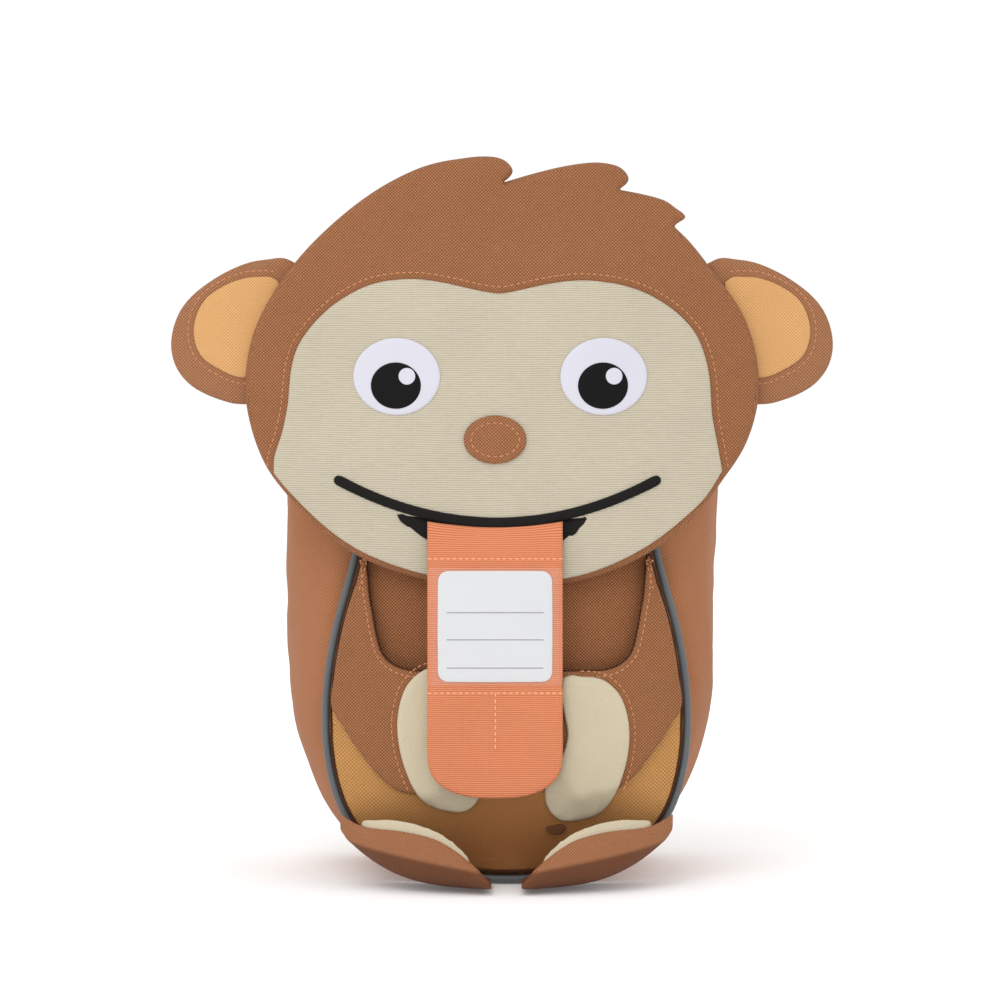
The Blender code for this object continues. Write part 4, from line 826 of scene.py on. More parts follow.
@dataclass
class Patch:
    """A flat piece of cloth that is sewn on, with its own wall and turned edge.

    Attributes:
        name: The piece's name.
        outline: Its outline, then its holes.
        base: Depth of the surface that it lies on, at given points.
        finish: Its finish.
        wall: Its thickness.
        grid: Distance between its points.
        edge: Width over which its edge rounds off.
        lift: Gap to what it lies on.
        puff: How far its middle stands out more.
        seam: Distance of its seam from its edge, or 0 for none.
        groove: Depth of the seam.
        pucker: Height of the small gathers along the seam.
        relax: Steps of smoothing that bridge hollows beneath.
        thick: True where both faces round off, as on a pad.
        rim_points: Numbers of the points on its rim, once it is made.
        EDGE_SHARE: The wall's share that is left at the very edge.
        HOLLOW_SHARE: How far a step of smoothing goes, well inside the edge.
        HOLLOW_REACH: Distance from the edge where the smoothing is full.
        SAFE_IN: Nearer to the edge than this, depths are carried on from inside.
        SAFE_SHARE: The same, as a share of a narrow piece's reach.
        SEAM_WIDTH: Half the width of the seam's groove.
        GATHER_SIZE: Size of the gathers, and their reach to both sides of the seam.
    """

    EDGE_SHARE: ClassVar[float] = 0.25
    HOLLOW_SHARE: ClassVar[float] = 0.6
    HOLLOW_REACH: ClassVar[float] = 5 * MM
    SAFE_IN: ClassVar[float] = 1.4 * MM
    SAFE_SHARE: ClassVar[float] = 0.35
    SEAM_WIDTH: ClassVar[float] = 0.55 * MM
    GATHER_SIZE: ClassVar[float] = 2.6 * MM

    name: str
    outline: list[Outline]
    base: Carrier
    finish: Union[Cloth, Smooth, ClearFilm]
    wall: float = 1.2 * MM
    grid: float = 2.2 * MM
    edge: float = 1.2 * MM
    lift: float = 0.25 * MM
    puff: float = 0.0
    seam: float = 0.0
    groove: float = 0.25 * MM
    pucker: float = 0.12 * MM
    relax: int = 10
    thick: bool = False
    rim_points: list[int] = field(default_factory=list)

    def spots(self) -> tuple[np.ndarray, list[list[int]]]:
        """Fill the outline with points.

        Returns:
            The points, and the triangles between them.
        """
        points: list[Vector] = []
        edges = []
        for loop in self.outline:
            first = len(points)
            points += [Vector(spot) for spot in loop.points]
            count = len(loop.points)
            edges += [(first + i, first + (i + 1) % count) for i in range(count)]
        rings = [loop.moved(-share * self.edge if k == 0 else share * self.edge)
                 for k, loop in enumerate(self.outline) for share in (0.3, 0.9)]
        outer = self.outline[0].points
        xs = np.arange(outer[:, 0].min(), outer[:, 0].max(), self.grid)
        zs = np.arange(outer[:, 1].min(), outer[:, 1].max(), self.grid * 0.87)
        mesh = np.array([(x + 0.5 * self.grid * (j % 2), z) for j, z in enumerate(zs) for x in xs])
        fills = ((np.concatenate(rings), 0.22 * self.edge), (mesh, self.edge + 0.45 * self.grid))
        for spots, least in fills:
            near = np.min([loop.distance(spots) for loop in self.outline], axis=0)
            kept = self.within(spots) & (near > least)
            points += [Vector(spot) for spot in spots[kept]]
        flat, _, cells, _, _, _ = delaunay_2d_cdt(points, edges, [], 1, 1e-7)
        flat_spots = np.array([tuple(spot) for spot in flat])
        corners = [list(cell) for cell in cells]
        middles = np.array([flat_spots[cell].mean(axis=0) for cell in corners])
        good = self.within(middles)
        return flat_spots, [cell for cell, ok in zip(corners, good) if ok]

    def within(self, spots: np.ndarray) -> np.ndarray:
        """Say which points lie on the cloth.

        Args:
            spots: Points to test.

        Returns:
            True or False for each.
        """
        on = self.outline[0].inside(spots)
        for hole in self.outline[1:]:
            on &= ~hole.inside(spots)
        return on

    def depths(self, flat: np.ndarray, far: np.ndarray) -> np.ndarray:
        """Read what the cloth lies on, and carry its slope on to the cloth's edge.

        Args:
            flat: The cloth's points.
            far: Their distances from the edge.

        Returns:
            The depth at each point.
        """
        safe = far > min(self.SAFE_IN, self.SAFE_SHARE * far.max())
        depth = np.zeros(len(flat))
        depth[safe] = self.base.depth(flat[safe])
        inner, known = flat[safe], depth[safe]
        for i in np.flatnonzero(~safe):
            away = inner - flat[i]
            close = np.argsort((away ** 2).sum(axis=1))[:9]
            middle, level = inner[close].mean(axis=0), known[close].mean()
            spread = inner[close] - middle
            square = spread.T @ spread + np.eye(2) * (1 * MM) ** 2
            slope = np.linalg.solve(square, spread.T @ (known[close] - level))
            depth[i] = level + (flat[i] - middle) @ slope
        return depth

    def build(self) -> bpy.types.Object:
        """Make the piece.

        Returns:
            The object.
        """
        flat, cells = self.spots()
        far = np.min([loop.distance(flat) for loop in self.outline], axis=0)
        near = self.depths(flat, far)
        pairs = np.array([(a, b) for cell in cells for a, b in zip(cell, cell[1:] + cell[:1])])
        links = np.maximum(np.bincount(pairs.ravel(), minlength=len(flat)), 1)
        held = near.copy()
        share = self.HOLLOW_SHARE * np.clip(far / self.HOLLOW_REACH, 0, 1)
        for _ in range(self.relax):
            total = np.bincount(pairs[:, 0], near[pairs[:, 1]], len(flat))
            total += np.bincount(pairs[:, 1], near[pairs[:, 0]], len(flat))
            near = np.minimum((1 - share) * near + share * total / links, held)
        near -= self.lift
        roll = np.sqrt(np.clip(1 - (1 - np.clip(far / self.edge, 0, 1)) ** 2, 0, 1))
        plain = self.wall * (self.EDGE_SHARE + (1 - self.EDGE_SHARE) * roll)
        wall = plain + self.puff * np.clip(far / far.max(), 0, 1) ** 0.6
        if self.seam:
            line = np.exp(-((far - self.seam) / self.SEAM_WIDTH) ** 2)
            beside = np.exp(-((far - self.seam) / self.GATHER_SIZE) ** 2)
            gathers = self.pucker * beside * ripple(flat, self.GATHER_SIZE, 3.7)
            wall += -self.groove * line + gathers
        back, front = near, near - wall
        if self.thick:
            spare = self.wall * 0.5 * (1 - roll)
            back, front = near - spare, near - self.wall + spare - (wall - plain)
        count = len(flat)
        points = [(x, y, z) for depth in (front, back) for (x, z), y in zip(flat, depth)]
        faces = cells + [[i + count for i in reversed(cell)] for cell in cells]
        sides = {(int(a), int(b)) for a, b in pairs}
        rim = [(a, b) for a, b in sides if (b, a) not in sides]
        faces += [[b, a, a + count, b + count] for a, b in sorted(rim)]
        self.rim_points = sorted({a for a, _ in rim} | {a + count for a, _ in rim})
        return new_piece(self.name, points, faces, self.finish)


def declared_sheet(outline: Sequence[Outline]) -> None:
    """Work out a sewn-on piece's cut area, which nothing then uses.

    Args:
        outline: Its outline and holes.
    """
    area = abs(outline[0].area()) - sum(abs(hole.area()) for hole in outline[1:])


def blown_up(piece: bpy.types.Object, held: Sequence[int], pressure: float, cap: float) -> None:
    """Blow a closed cloth up with a simulation, and keep its seams where they are.

    Args:
        piece: The closed mesh.
        held: Points that stay.
        pressure: Pressure inside.
        cap: The furthest that a point may move.
    """
    scene = bpy.context.scene
    group = piece.vertex_groups.new(name="seam")
    group.add(list(held), 1.0, "REPLACE")
    cloth = piece.modifiers.new("cloth", "CLOTH")
    settings = cloth.settings
    settings.quality = 6
    settings.mass = 0.2
    settings.tension_stiffness = settings.compression_stiffness = 18
    settings.shear_stiffness = 8
    settings.bending_stiffness = 0.4
    settings.vertex_group_mass = "seam"
    settings.use_pressure = True
    settings.uniform_pressure_force = pressure
    settings.effector_weights.gravity = 0.0
    cloth.collision_settings.use_self_collision = False
    before = np.array([tuple(vert.co) for vert in piece.data.vertices])
    for step in range(1, SIM_STEPS + 1):
        scene.frame_set(step)
    graph = bpy.context.evaluated_depsgraph_get()
    shape = piece.evaluated_get(graph).data
    after = np.array([tuple(vert.co) for vert in shape.vertices])
    piece.modifiers.clear()
    piece.vertex_groups.clear()
    scene.frame_set(1)
    shift = after - before
    size = np.linalg.norm(shift, axis=1, keepdims=True)
    shift *= np.minimum(1.0, cap / np.maximum(size, 1e-9))
    set_vertices(piece, before + shift)
    LOG.info("%s: blown up by at most %.1f mm", piece.name, size.max() / MM)


def soft_copy(node: str, name: str, finish: Union[Cloth, Smooth], levels: int = 2,
              bend: float = 0.5, softened: int = 0) -> bpy.types.Object:
    """Make a rounded copy of a CAD solid.

    Args:
        node: The CAD node.
        name: The new piece's name.
        finish: Its finish.
        levels: Levels of subdivision.
        bend: Largest angle across which triangles are joined in pairs first.
        softened: Rounds of smoothing first.

    Returns:
        The object.
    """
    shape = merged(node)
    if bend:
        bmesh.ops.join_triangles(shape, faces=shape.faces, angle_face_threshold=bend,
                                 angle_shape_threshold=2.0)
    for _ in range(softened):
        bmesh.ops.smooth_vert(shape, verts=shape.verts, factor=0.5, use_axis_x=True, use_axis_y=True,
                              use_axis_z=True)
    mesh = bpy.data.meshes.new(name)
    shape.to_mesh(mesh)
    shape.free()
    mesh.materials.clear()
    mesh.materials.append(finish.build())
    piece = placed(name, mesh)
    subdivided(piece, levels)
    return piece


def pushed(piece: bpy.types.Object, shift: np.ndarray) -> None:
    """Move a mesh's points along their normals.

    Args:
        piece: The mesh object.
        shift: How far each point moves.
    """
    set_vertices(piece, vertices(piece) + normals(piece) * shift[:, None])


def vertices(piece: bpy.types.Object) -> np.ndarray:
    """Read a mesh's points.

    Args:
        piece: The mesh object.

    Returns:
        A row of three for each point.
    """
    places = np.empty(len(piece.data.vertices) * 3)
    piece.data.vertices.foreach_get("co", places)
    return places.reshape(-1, 3)


def normals(piece: bpy.types.Object) -> np.ndarray:
    """A mesh's point normals, a row of three for each point."""
    return np.array([tuple(normal.vector) for normal in piece.data.vertex_normals])


def set_vertices(piece: bpy.types.Object, spots: np.ndarray) -> None:
    """Put a mesh's points elsewhere."""
    piece.data.vertices.foreach_set("co", spots.ravel())
    piece.data.update()


# Stitches

@dataclass(frozen=True)
class StitchTree:
    """The Geometry Nodes tree that sews a row of stitches along a curve.

    Attributes:
        name: The tree's name.
        roundness: Subdivisions of a stitch's round shape.
    """

    name: str = "stitch row"
    roundness: int = 2

    def build(self) -> bpy.types.NodeTree:
        """Make the tree.

        Returns:
            The tree.
        """
        tree = bpy.data.node_groups.new(self.name, "GeometryNodeTree")
        face = tree.interface
        face.new_socket("Geometry", in_out="INPUT", socket_type="NodeSocketGeometry")
        for name in ("Pitch", "Stitch length", "Thread thickness"):
            face.new_socket(name, in_out="INPUT", socket_type="NodeSocketFloat")
        face.new_socket("Thread", in_out="INPUT", socket_type="NodeSocketMaterial")
        face.new_socket("Geometry", in_out="OUTPUT", socket_type="NodeSocketGeometry")
        given = add(tree, "NodeGroupInput", {}).outputs
        row = add(tree, "GeometryNodeResampleCurve",
                  {"Curve": given["Geometry"], "Length": given["Pitch"]}, mode="LENGTH").outputs[0]
        ball = add(tree, "GeometryNodeMeshIcoSphere",
                   {"Radius": 0.5, "Subdivisions": self.roundness}).outputs[0]
        thick = given["Thread thickness"]
        size = add(tree, "ShaderNodeCombineXYZ", {0: given["Stitch length"], 1: thick,
                                                  2: thick}).outputs[0]
        stitch = add(tree, "GeometryNodeTransform", {"Geometry": ball, "Scale": size}).outputs[0]
        tangent = add(tree, "GeometryNodeInputTangent", {}).outputs[0]
        turn = add(tree, "FunctionNodeAlignRotationToVector", {"Vector": tangent}, axis="X").outputs[0]
        sewn = add(tree, "GeometryNodeInstanceOnPoints", {"Points": row, "Instance": stitch,
                                                          "Rotation": turn}).outputs[0]
        real = add(tree, "GeometryNodeRealizeInstances", {"Geometry": sewn}).outputs[0]
        smooth = add(tree, "GeometryNodeSetShadeSmooth", {"Geometry": real}).outputs[0]
        done = add(tree, "GeometryNodeSetMaterial",
                   {"Geometry": smooth, "Material": given["Thread"]}).outputs[0]
        add(tree, "NodeGroupOutput", {"Geometry": done})
        return tree


@dataclass
class Stitching:
    """Rows of stitches in one thread.

    Attributes:
        name: The piece's name.
        thread: The thread's finish.
        pitch: Distance from stitch to stitch.
        length: Length of a stitch.
        thickness: Thickness of the thread.
        rows: The rows, each a run of points in space.
    """

    name: str
    thread: Smooth
    pitch: float = 2.3 * MM
    length: float = 1.65 * MM
    thickness: float = 0.52 * MM
    rows: list[np.ndarray] = field(default_factory=list)

    def along(self, spots: np.ndarray, on: Carrier, lift: float = 0.02 * MM,
              surface: Surface = Surface.FRONT) -> None:
        """Add a row that lies on a surface.

        Args:
            spots: The row in the front view.
            on: What it lies on.
            lift: How far the thread's middle stands off it.
            surface: The surface that it lies on.
        """
        depth = on.depth(spots, surface) + surface.value * lift
        self.rows.append(np.stack([spots[:, 0], depth, spots[:, 1]], axis=1))

    def sew(self, tree: bpy.types.NodeTree) -> bpy.types.Object:
        """Make the stitches.

        Args:
            tree: The stitch tree.

        Returns:
            All rows as one piece.
        """
        path = bpy.data.curves.new(self.name, "CURVE")
        path.dimensions = "3D"
        for row in self.rows:
            spline = path.splines.new("POLY")
            spline.points.add(len(row) - 1)
            weighted = np.concatenate([row, np.ones((len(row), 1))], axis=1)
            spline.points.foreach_set("co", weighted.ravel())
        route = placed(self.name + "_route", path)
        sewing = route.modifiers.new("sewing", "NODES")
        sewing.node_group = tree
        values = {"Pitch": self.pitch, "Stitch length": self.length, "Thread thickness": self.thickness,
                  "Thread": self.thread.build()}
        for item in tree.interface.items_tree:
            if item.in_out == "INPUT" and item.name in values:
                sewing[item.identifier] = values[item.name]
        graph = bpy.context.evaluated_depsgraph_get()
        mesh = bpy.data.meshes.new_from_object(route.evaluated_get(graph))
        bpy.data.objects.remove(route)
        mesh.name = self.name
        return dressed(placed(self.name, mesh))


def tube(name: str, route: np.ndarray, radius: float, finish: Union[Cloth, Smooth],
         sides: int = 8) -> bpy.types.Object:
    """Make a round cord along an open route.

    Args:
        name: The piece's name.
        route: Points in space.
        radius: The cord's radius.
        finish: Its finish.
        sides: Faces round it.

    Returns:
        The object.
    """
    run = np.gradient(route, axis=0)
    run /= np.linalg.norm(run, axis=1, keepdims=True)
    side = np.cross(run, (0.0, 1.0, 0.0))
    side /= np.linalg.norm(side, axis=1, keepdims=True)
    out = np.cross(side, run)
    turns = np.linspace(0, 2 * math.pi, sides, endpoint=False)
    rings = [route + radius * (math.cos(turn) * side + math.sin(turn) * out) for turn in turns]
    points = np.stack(rings, axis=1).reshape(-1, 3)
    faces = [[r * sides + c, r * sides + (c + 1) % sides, (r + 1) * sides + (c + 1) % sides,
              (r + 1) * sides + c] for r in range(len(route) - 1) for c in range(sides)]
    faces += [list(range(sides)), [len(points) - 1 - c for c in range(sides)]]
    return new_piece(name, points, faces, finish)


def cut(points: np.ndarray, keep: np.ndarray) -> np.ndarray:
    """Take the longest run of a closed outline that is kept.

    Args:
        points: The outline's points.
        keep: Which of them are kept.

    Returns:
        The run.
    """
    if keep.all():
        return ring(points)
    start = int(np.flatnonzero(~keep)[0])
    turned, kept = np.roll(points, -start, axis=0), np.roll(keep, -start)
    best: tuple[int, int] = (0, 0)
    first = None
    for i, on in enumerate(list(kept) + [False]):
        if on and first is None:
            first = i
        if not on and first is not None:
            best = max(best, (i - first, first))
            first = None
    return turned[best[1]:best[1] + best[0]]


def ring(points: np.ndarray) -> np.ndarray:
    """Close a run of points, so that a row of stitches meets its start."""
    return np.concatenate([points, points[:1]])


# The backpack's sub-assemblies

@dataclass
class Bag:
    """The bag itself: its shell, front panel, piping, lid roof and back panel.

    Attributes:
        sag: Height of the soft dents in the sides.
        dent_size: Size of the large dents.
        wrinkle_size: Size of the small dents.
        wrinkle_share: Height of the small dents, as a share of the large ones.
        side_from: Distance from the middle where the sides' dents begin.
        side_over: Distance over which they reach their full height.
        base_over: Height above the base over which they do.
        stand_out: The furthest that the shell may stand out.
        seam_pull: How far the sides are pulled in beside the piping.
        pull_over: Distance from the seam over which the pull fades.
        pull_top: Height where the pull ends.
        front_from: What lies before this depth is the shell's front.
        front_fold: Height of the soft upright fold beside the front.
        fold_across: Distance of the fold from the middle.
        fold_width: Half its width.
        fold_from: Height where it begins.
        fold_over: Height over which it reaches its full height.
        inside_point: A point in the bag that its inner walls face.
        roof_row_up: Height of the stitches above the lid's rim.
        roof_row_steps: Steps of that row round the lid.
        back_pressure: Pressure that fills the back's padding.
        back_swell: The furthest that it stands out.
        channel_half: Half the width of the channel down the back.
        channel_depth: Its depth.
        back_seam_in: Distance of the back's stitches from its edge.
    """

    sag: float = 1.6 * MM
    dent_size: float = 26 * MM
    wrinkle_size: float = 9 * MM
    wrinkle_share: float = 0.35
    side_from: float = 40 * MM
    side_over: float = 25 * MM
    base_over: float = 20 * MM
    stand_out: float = 1.2 * MM
    seam_pull: float = 2.2 * MM
    pull_over: float = 5 * MM
    pull_top: float = 0.12
    front_from: float = -8 * MM
    front_fold: float = 1.0 * MM
    fold_across: float = 60 * MM
    fold_width: float = 4 * MM
    fold_from: float = 0.06
    fold_over: float = 0.03
    inside_point: tuple[float, float, float] = (0.0, 0.008, 0.095)
    roof_row_up: float = 0.1955
    roof_row_steps: int = 120
    back_pressure: float = 2.0
    back_swell: float = 1.4 * MM
    channel_half: float = 2.2 * MM
    channel_depth: float = 2.2 * MM
    back_seam_in: float = 4.5 * MM

    def build(self, threads: Stitching) -> None:
        """Make the bag's pieces.

        Args:
            threads: Gets the rows of stitches.
        """
        self.make_shell()
        self.make_panel()
        self.make_piping()
        self.make_roof(threads)
        self.make_back(threads)

    def make_shell(self) -> None:
        """The gusset, base and back wall, with soft dents and the pull of the seam."""
        shell = soft_copy("bag_shell", "sides_and_base", Finish.GUSSET)
        spots = vertices(shell)
        across, up = np.abs(spots[:, 0]), spots[:, 2]
        dents = ripple(spots * (1, 1, 0.55), self.dent_size, 1.3) * self.sag
        dents += ripple(spots * (1, 1, 0.8), self.wrinkle_size, 7.1) * self.wrinkle_share * self.sag
        side = np.clip((across - self.side_from) / self.side_over, 0, 1)
        low = np.clip(up / self.base_over, 0, 1)
        seam = Outline.of("front_panel")[0].distance(spots[:, [0, 2]])
        front = spots[:, 1] < self.front_from
        pull = np.exp(-(seam / self.pull_over) ** 2)
        pull = np.where(front & (side > 0), pull, 0) * self.seam_pull
        pull *= up < self.pull_top
        fold = np.exp(-((across - self.fold_across) / self.fold_width) ** 2) * front * self.front_fold
        fold *= np.clip((up - self.fold_from) / self.fold_over, 0, 1)
        shift = np.where(self.inner_points(shell), pull, (dents + fold) * side * low - pull)
        pushed(shell, np.minimum(shift, self.stand_out))
        dressed(shell, ["bag_shell"])

    def inner_points(self, shell: bpy.types.Object) -> np.ndarray:
        """Say which of the shell's points face its inside.

        Args:
            shell: The shell.

        Returns:
            True or False for each point.
        """
        return ((vertices(shell) - np.array(self.inside_point)) * normals(shell)).sum(axis=1) < 0

    def make_panel(self) -> None:
        """The dark canvas behind the pocket's mouth."""
        outline = Outline.of("front_panel")
        panel = Patch("front_panel_canvas", outline, Carrier(["front_panel"]), Finish.PANEL,
                      wall=1.3 * MM, lift=-1.3 * MM, pucker=0.0, relax=14).build()
        dressed(panel, ["front_panel"])
        declared_sheet(outline)

    def make_piping(self) -> None:
        """The round grey piping, and the closure pad under the chin."""
        dressed(soft_copy("piping", "grey_piping", Finish.PIPING), ["piping"])
        pad = soft_copy("closure_patch", "chin_closure", Finish.PILE, levels=1)
        dressed(pad, ["closure_patch"])

    def make_roof(self, threads: Stitching) -> None:
        """The lid's roof behind the head.

        Args:
            threads: Gets the row of stitches above the rim.
        """
        roof = soft_copy("lid_roof", "lid_roof_cloth", Finish.GUSSET)
        spots = vertices(roof)
        pushed(roof, ripple(spots, 24 * MM, 5.5) * 0.5 * self.sag)
        dressed(roof, ["lid_roof"])
        tree = Carrier([roof]).tree
        row = []
        for i in range(self.roof_row_steps + 1):
            turn = 2 * math.pi * i / self.roof_row_steps
            way = Vector((-math.cos(turn), -math.sin(turn), 0))
            hit = tree.ray_cast(Vector((0, 0.01, self.roof_row_up)) - way * 0.3, way)[0]
            if hit is not None:
                row.append(tuple(hit - way * 0.05 * MM))
        threads.rows.append(np.array(row))

    def make_back(self, threads: Stitching) -> None:
        """The padded back in spacer mesh.

        Args:
            threads: Gets the row of stitches round it.
        """
        low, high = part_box("back_panel")
        outline = Outline.of("back_panel")
        pad = Patch("back_padding", outline, Carrier(["back_panel"]), Finish.BACK, wall=6.0 * MM,
                    grid=5 * MM, edge=4 * MM, lift=-6.2 * MM, thick=True, relax=4)
        piece = pad.build()
        blown_up(piece, pad.rim_points, self.back_pressure, self.back_swell)
        spots = vertices(piece)
        channel = np.exp(-(spots[:, 0] / self.channel_half) ** 2) * self.channel_depth
        rear = spots[:, 1] > (low[1] + high[1]) / 2
        pushed(piece, np.where(rear, -channel, 0.0))
        subdivided(piece)
        dressed(piece, ["back_panel"])
        threads.along(ring(outline[0].moved(-self.back_seam_in)), Carrier([piece]), surface=Surface.BACK)


@dataclass
class Pocket:
    """The front pocket: the tan belly and what is sewn on it.

    Attributes:
        seam_out: How far outside a hand's edge its stitches run.
        cord_half: Radius of the dark cords that are painted shade in a turned seam.
        cord_in: How far inside an edge the depth for its cord is read.
        rim_near: Nearer than this to the front panel's edge, the belly meets the piping.
        rim_top: Height up to which it does.
        rim_behind: How far the belly's shade cord lies behind its front.
        shade_spot_at: Middle of the small dark oval of painted shade below the right hand, across and
            up.
        shade_spot_half: Its half sizes.
        hem_in: Distance of the arm's stitches from its edge.
        hem_from: Height where the hem begins.
        hem_across: Its ends, as distances from the middle.
        hem_behind: How far the hem's shade cord lies behind the arm's front.
        hand_row_from: Height where a hand's stitches begin.
        hand_row_past: How far past the hand's middle they start.
        belly: The belly once it is made.
        arms: The arms once they are made.
    """

    seam_out: float = 2.0 * MM
    cord_half: float = 0.5 * MM
    cord_in: float = 1.0 * MM
    rim_near: float = 4 * MM
    rim_top: float = 0.118
    rim_behind: float = 0.9 * MM
    shade_spot_at: tuple[float, float] = (0.0194, 0.0213)
    shade_spot_half: tuple[float, float] = (3.6 * MM, 2.4 * MM)
    hem_in: float = 1.9 * MM
    hem_from: float = 0.0765
    hem_across: tuple[float, float] = (12 * MM, 53.2 * MM)
    hem_behind: float = 1.3 * MM
    hand_row_from: float = 0.036
    hand_row_past: float = 2 * MM
    belly: Optional[bpy.types.Object] = None
    arms: dict[Side, bpy.types.Object] = field(default_factory=dict)

    def build(self, threads: Stitching) -> None:
        """Make the pocket's pieces.

        Args:
            threads: Gets the rows of stitches.
        """
        outline = Outline.of("pocket_belly")
        self.belly = Patch("belly_cloth", outline, Carrier(["pocket_belly"]), Finish.BELLY,
                           wall=1.3 * MM, lift=-1.5 * MM, pucker=0.0, relax=14).build()
        dressed(self.belly, ["pocket_belly"])
        near = Outline.of("front_panel")[0].distance(outline[0].points) < self.rim_near
        low = outline[0].moved(0.2 * MM)[:, 1] < self.rim_top
        # A dark cord beside the piping is painted shade in the seam
        self.shade("piping_seam_shade", outline[0], 0.2 * MM, near & low, self.belly, self.rim_behind)
        declared_sheet(outline)
        self.make_shade_spot()
        for side in Side:
            self.make_arm(side, threads)
        for side in Side:
            self.make_hand(side, threads)

    def shade(self, name: str, outline: Outline, out: float, keep: np.ndarray, on: bpy.types.Object,
              behind: float) -> None:
        """Lay a dark cord in the turn of an edge, as painted shade in the gap there.

        Args:
            name: The piece's name.
            outline: The edge.
            out: How far outside the edge the cord runs.
            keep: Which of the outline's points it passes.
            on: The piece whose edge it is.
            behind: How far the cord lies behind that piece's front.
        """
        run = cut(outline.moved(out), keep)
        depth = Carrier([on]).depth(cut(outline.moved(-self.cord_in), keep)) + behind
        route = np.stack([run[:, 0], depth, run[:, 1]], axis=1)
        dressed(tube(name, route, self.cord_half, Finish.HEM_SHADE))

    def make_shade_spot(self) -> None:
        """A small dark oval below the right hand: painted shade under the hand's tip."""
        turns = np.linspace(0, 2 * math.pi, 24, endpoint=False)
        oval = Outline(np.stack([middle + half * way(turns) for middle, half, way in
                                 zip(self.shade_spot_at, self.shade_spot_half, (np.cos, np.sin))], axis=1))
        # Painted shade under the right hand's tip
        mark = Patch("belly_shade_spot", [oval], Carrier([self.belly]), Finish.SHADE_SPOT, wall=0.5 * MM,
                     edge=0.4 * MM).build()
        dressed(mark)

    def make_arm(self, side: Side, threads: Stitching) -> None:
        """One arm in brown canvas, with its hem along the pocket's mouth.

        Args:
            side: Its side.
            threads: Gets the stitches of the hem.
        """
        node = "arm_" + side.value
        outline = Outline.of(node)
        arm = Patch("arm_canvas_" + side.value, outline, Carrier([self.belly, node]), Finish.ARM,
                    wall=1.1 * MM, lift=-0.9 * MM, seam=2.0 * MM, groove=0.18 * MM, relax=14).build()
        dressed(arm, [node])
        declared_sheet(outline)
        self.arms[side] = arm
        points = outline[0].moved(-self.hem_in)
        away = side.sign * (points[:, 0] - MIDDLE)
        hem = (points[:, 1] > self.hem_from) & (away > self.hem_across[0]) & (away < self.hem_across[1])
        threads.along(cut(points, hem), Carrier([arm]))
        # A dark cord along the hem is painted shade in the gap under it
        self.shade("hem_shade_" + side.value, outline[0], 0.1 * MM, hem, arm, self.hem_behind)

    def make_hand(self, side: Side, threads: Stitching) -> None:
        """One felt hand.

        Args:
            side: Its side.
            threads: Gets the stitches beside it.
        """
        outline = Outline.of("hand_" + side.value)
        ground = Carrier([self.belly, *self.arms.values()])
        hand = Patch("hand_felt_" + side.value, outline, ground, Finish.FELT, wall=1.3 * MM,
                     edge=0.8 * MM, relax=60).build()
        dressed(hand, ["hand_" + side.value])
        declared_sheet(outline)
        points = outline[0].moved(self.seam_out)
        away = side.sign * (points[:, 0] - outline[0].points[:, 0].mean())
        beside = (away > -self.hand_row_past) & (points[:, 1] > self.hand_row_from)
        threads.along(cut(points, beside), Carrier([self.arms[side]]))


@dataclass
class Feet:
    """The two feet: canvas flaps that curl up, with felt inside.

    Attributes:
        crumple: Height of the soft dents in the canvas.
        proud: How far the felt stands out above its solid.
        crease: Height of the crease across the foot.
        crease_up: Height at which the crease would meet the middle.
        crease_tilt: Rise of the crease per distance from the middle.
        crease_half: Half the crease's width.
        dent_size: Size of the dents.
        base_over: Height above the ground over which they reach their full height.
        join_angle: Largest angle across which the solid's triangles are joined in pairs.
    """

    crumple: float = 0.35 * MM
    proud: float = 2.4 * MM
    crease: float = 0.5 * MM
    crease_up: float = 7.3 * MM
    crease_tilt: float = 0.177
    crease_half: float = 1.1 * MM
    dent_size: float = 12 * MM
    base_over: float = 6 * MM
    join_angle: float = 1.3

    def build(self) -> None:
        """Make both feet."""
        for side in Side:
            node, felt_node = "foot_" + side.value, "foot_felt_" + side.value
            foot = soft_copy(node, "foot_canvas_" + side.value, Finish.FOOT, bend=self.join_angle,
                             softened=2)
            spots = vertices(foot)
            level = spots[:, 2] - self.crease_tilt * np.abs(spots[:, 0] - MIDDLE)
            crease = np.exp(-((level - self.crease_up) / self.crease_half) ** 2) * self.crease
            low = np.clip(spots[:, 2] / self.base_over, 0, 1)
            soft = ripple(spots, self.dent_size, 2.2) * self.crumple * low
            pushed(foot, (soft + crease) * np.clip(-2 * normals(foot)[:, 1], 0, 1))
            dressed(foot, [node])
            felt = soft_copy(felt_node, "foot_lining_" + side.value, Finish.FELT, bend=self.join_angle)
            self.raise_rim(felt)
            dressed(felt, [felt_node])

    def raise_rim(self, felt: bpy.types.Object) -> None:
        """Let the felt stand out above the canvas.

        Args:
            felt: The felt.
        """
        spots = vertices(felt)
        across = np.abs(spots[:, 0] - MIDDLE)
        high = np.zeros(len(spots))
        for level in np.linspace(across.min(), across.max(), 24):
            near = np.abs(across - level) < 3 * MM
            top, low = spots[near, 2].max(), spots[near, 2].min()
            mine = np.abs(across - level) < 1.2 * MM
            high[mine] = np.clip((spots[mine, 2] - low) / (top - low) * 1.6 - 0.6, 0, 1)
        spots[:, 2] += high * self.proud
        set_vertices(felt, spots)


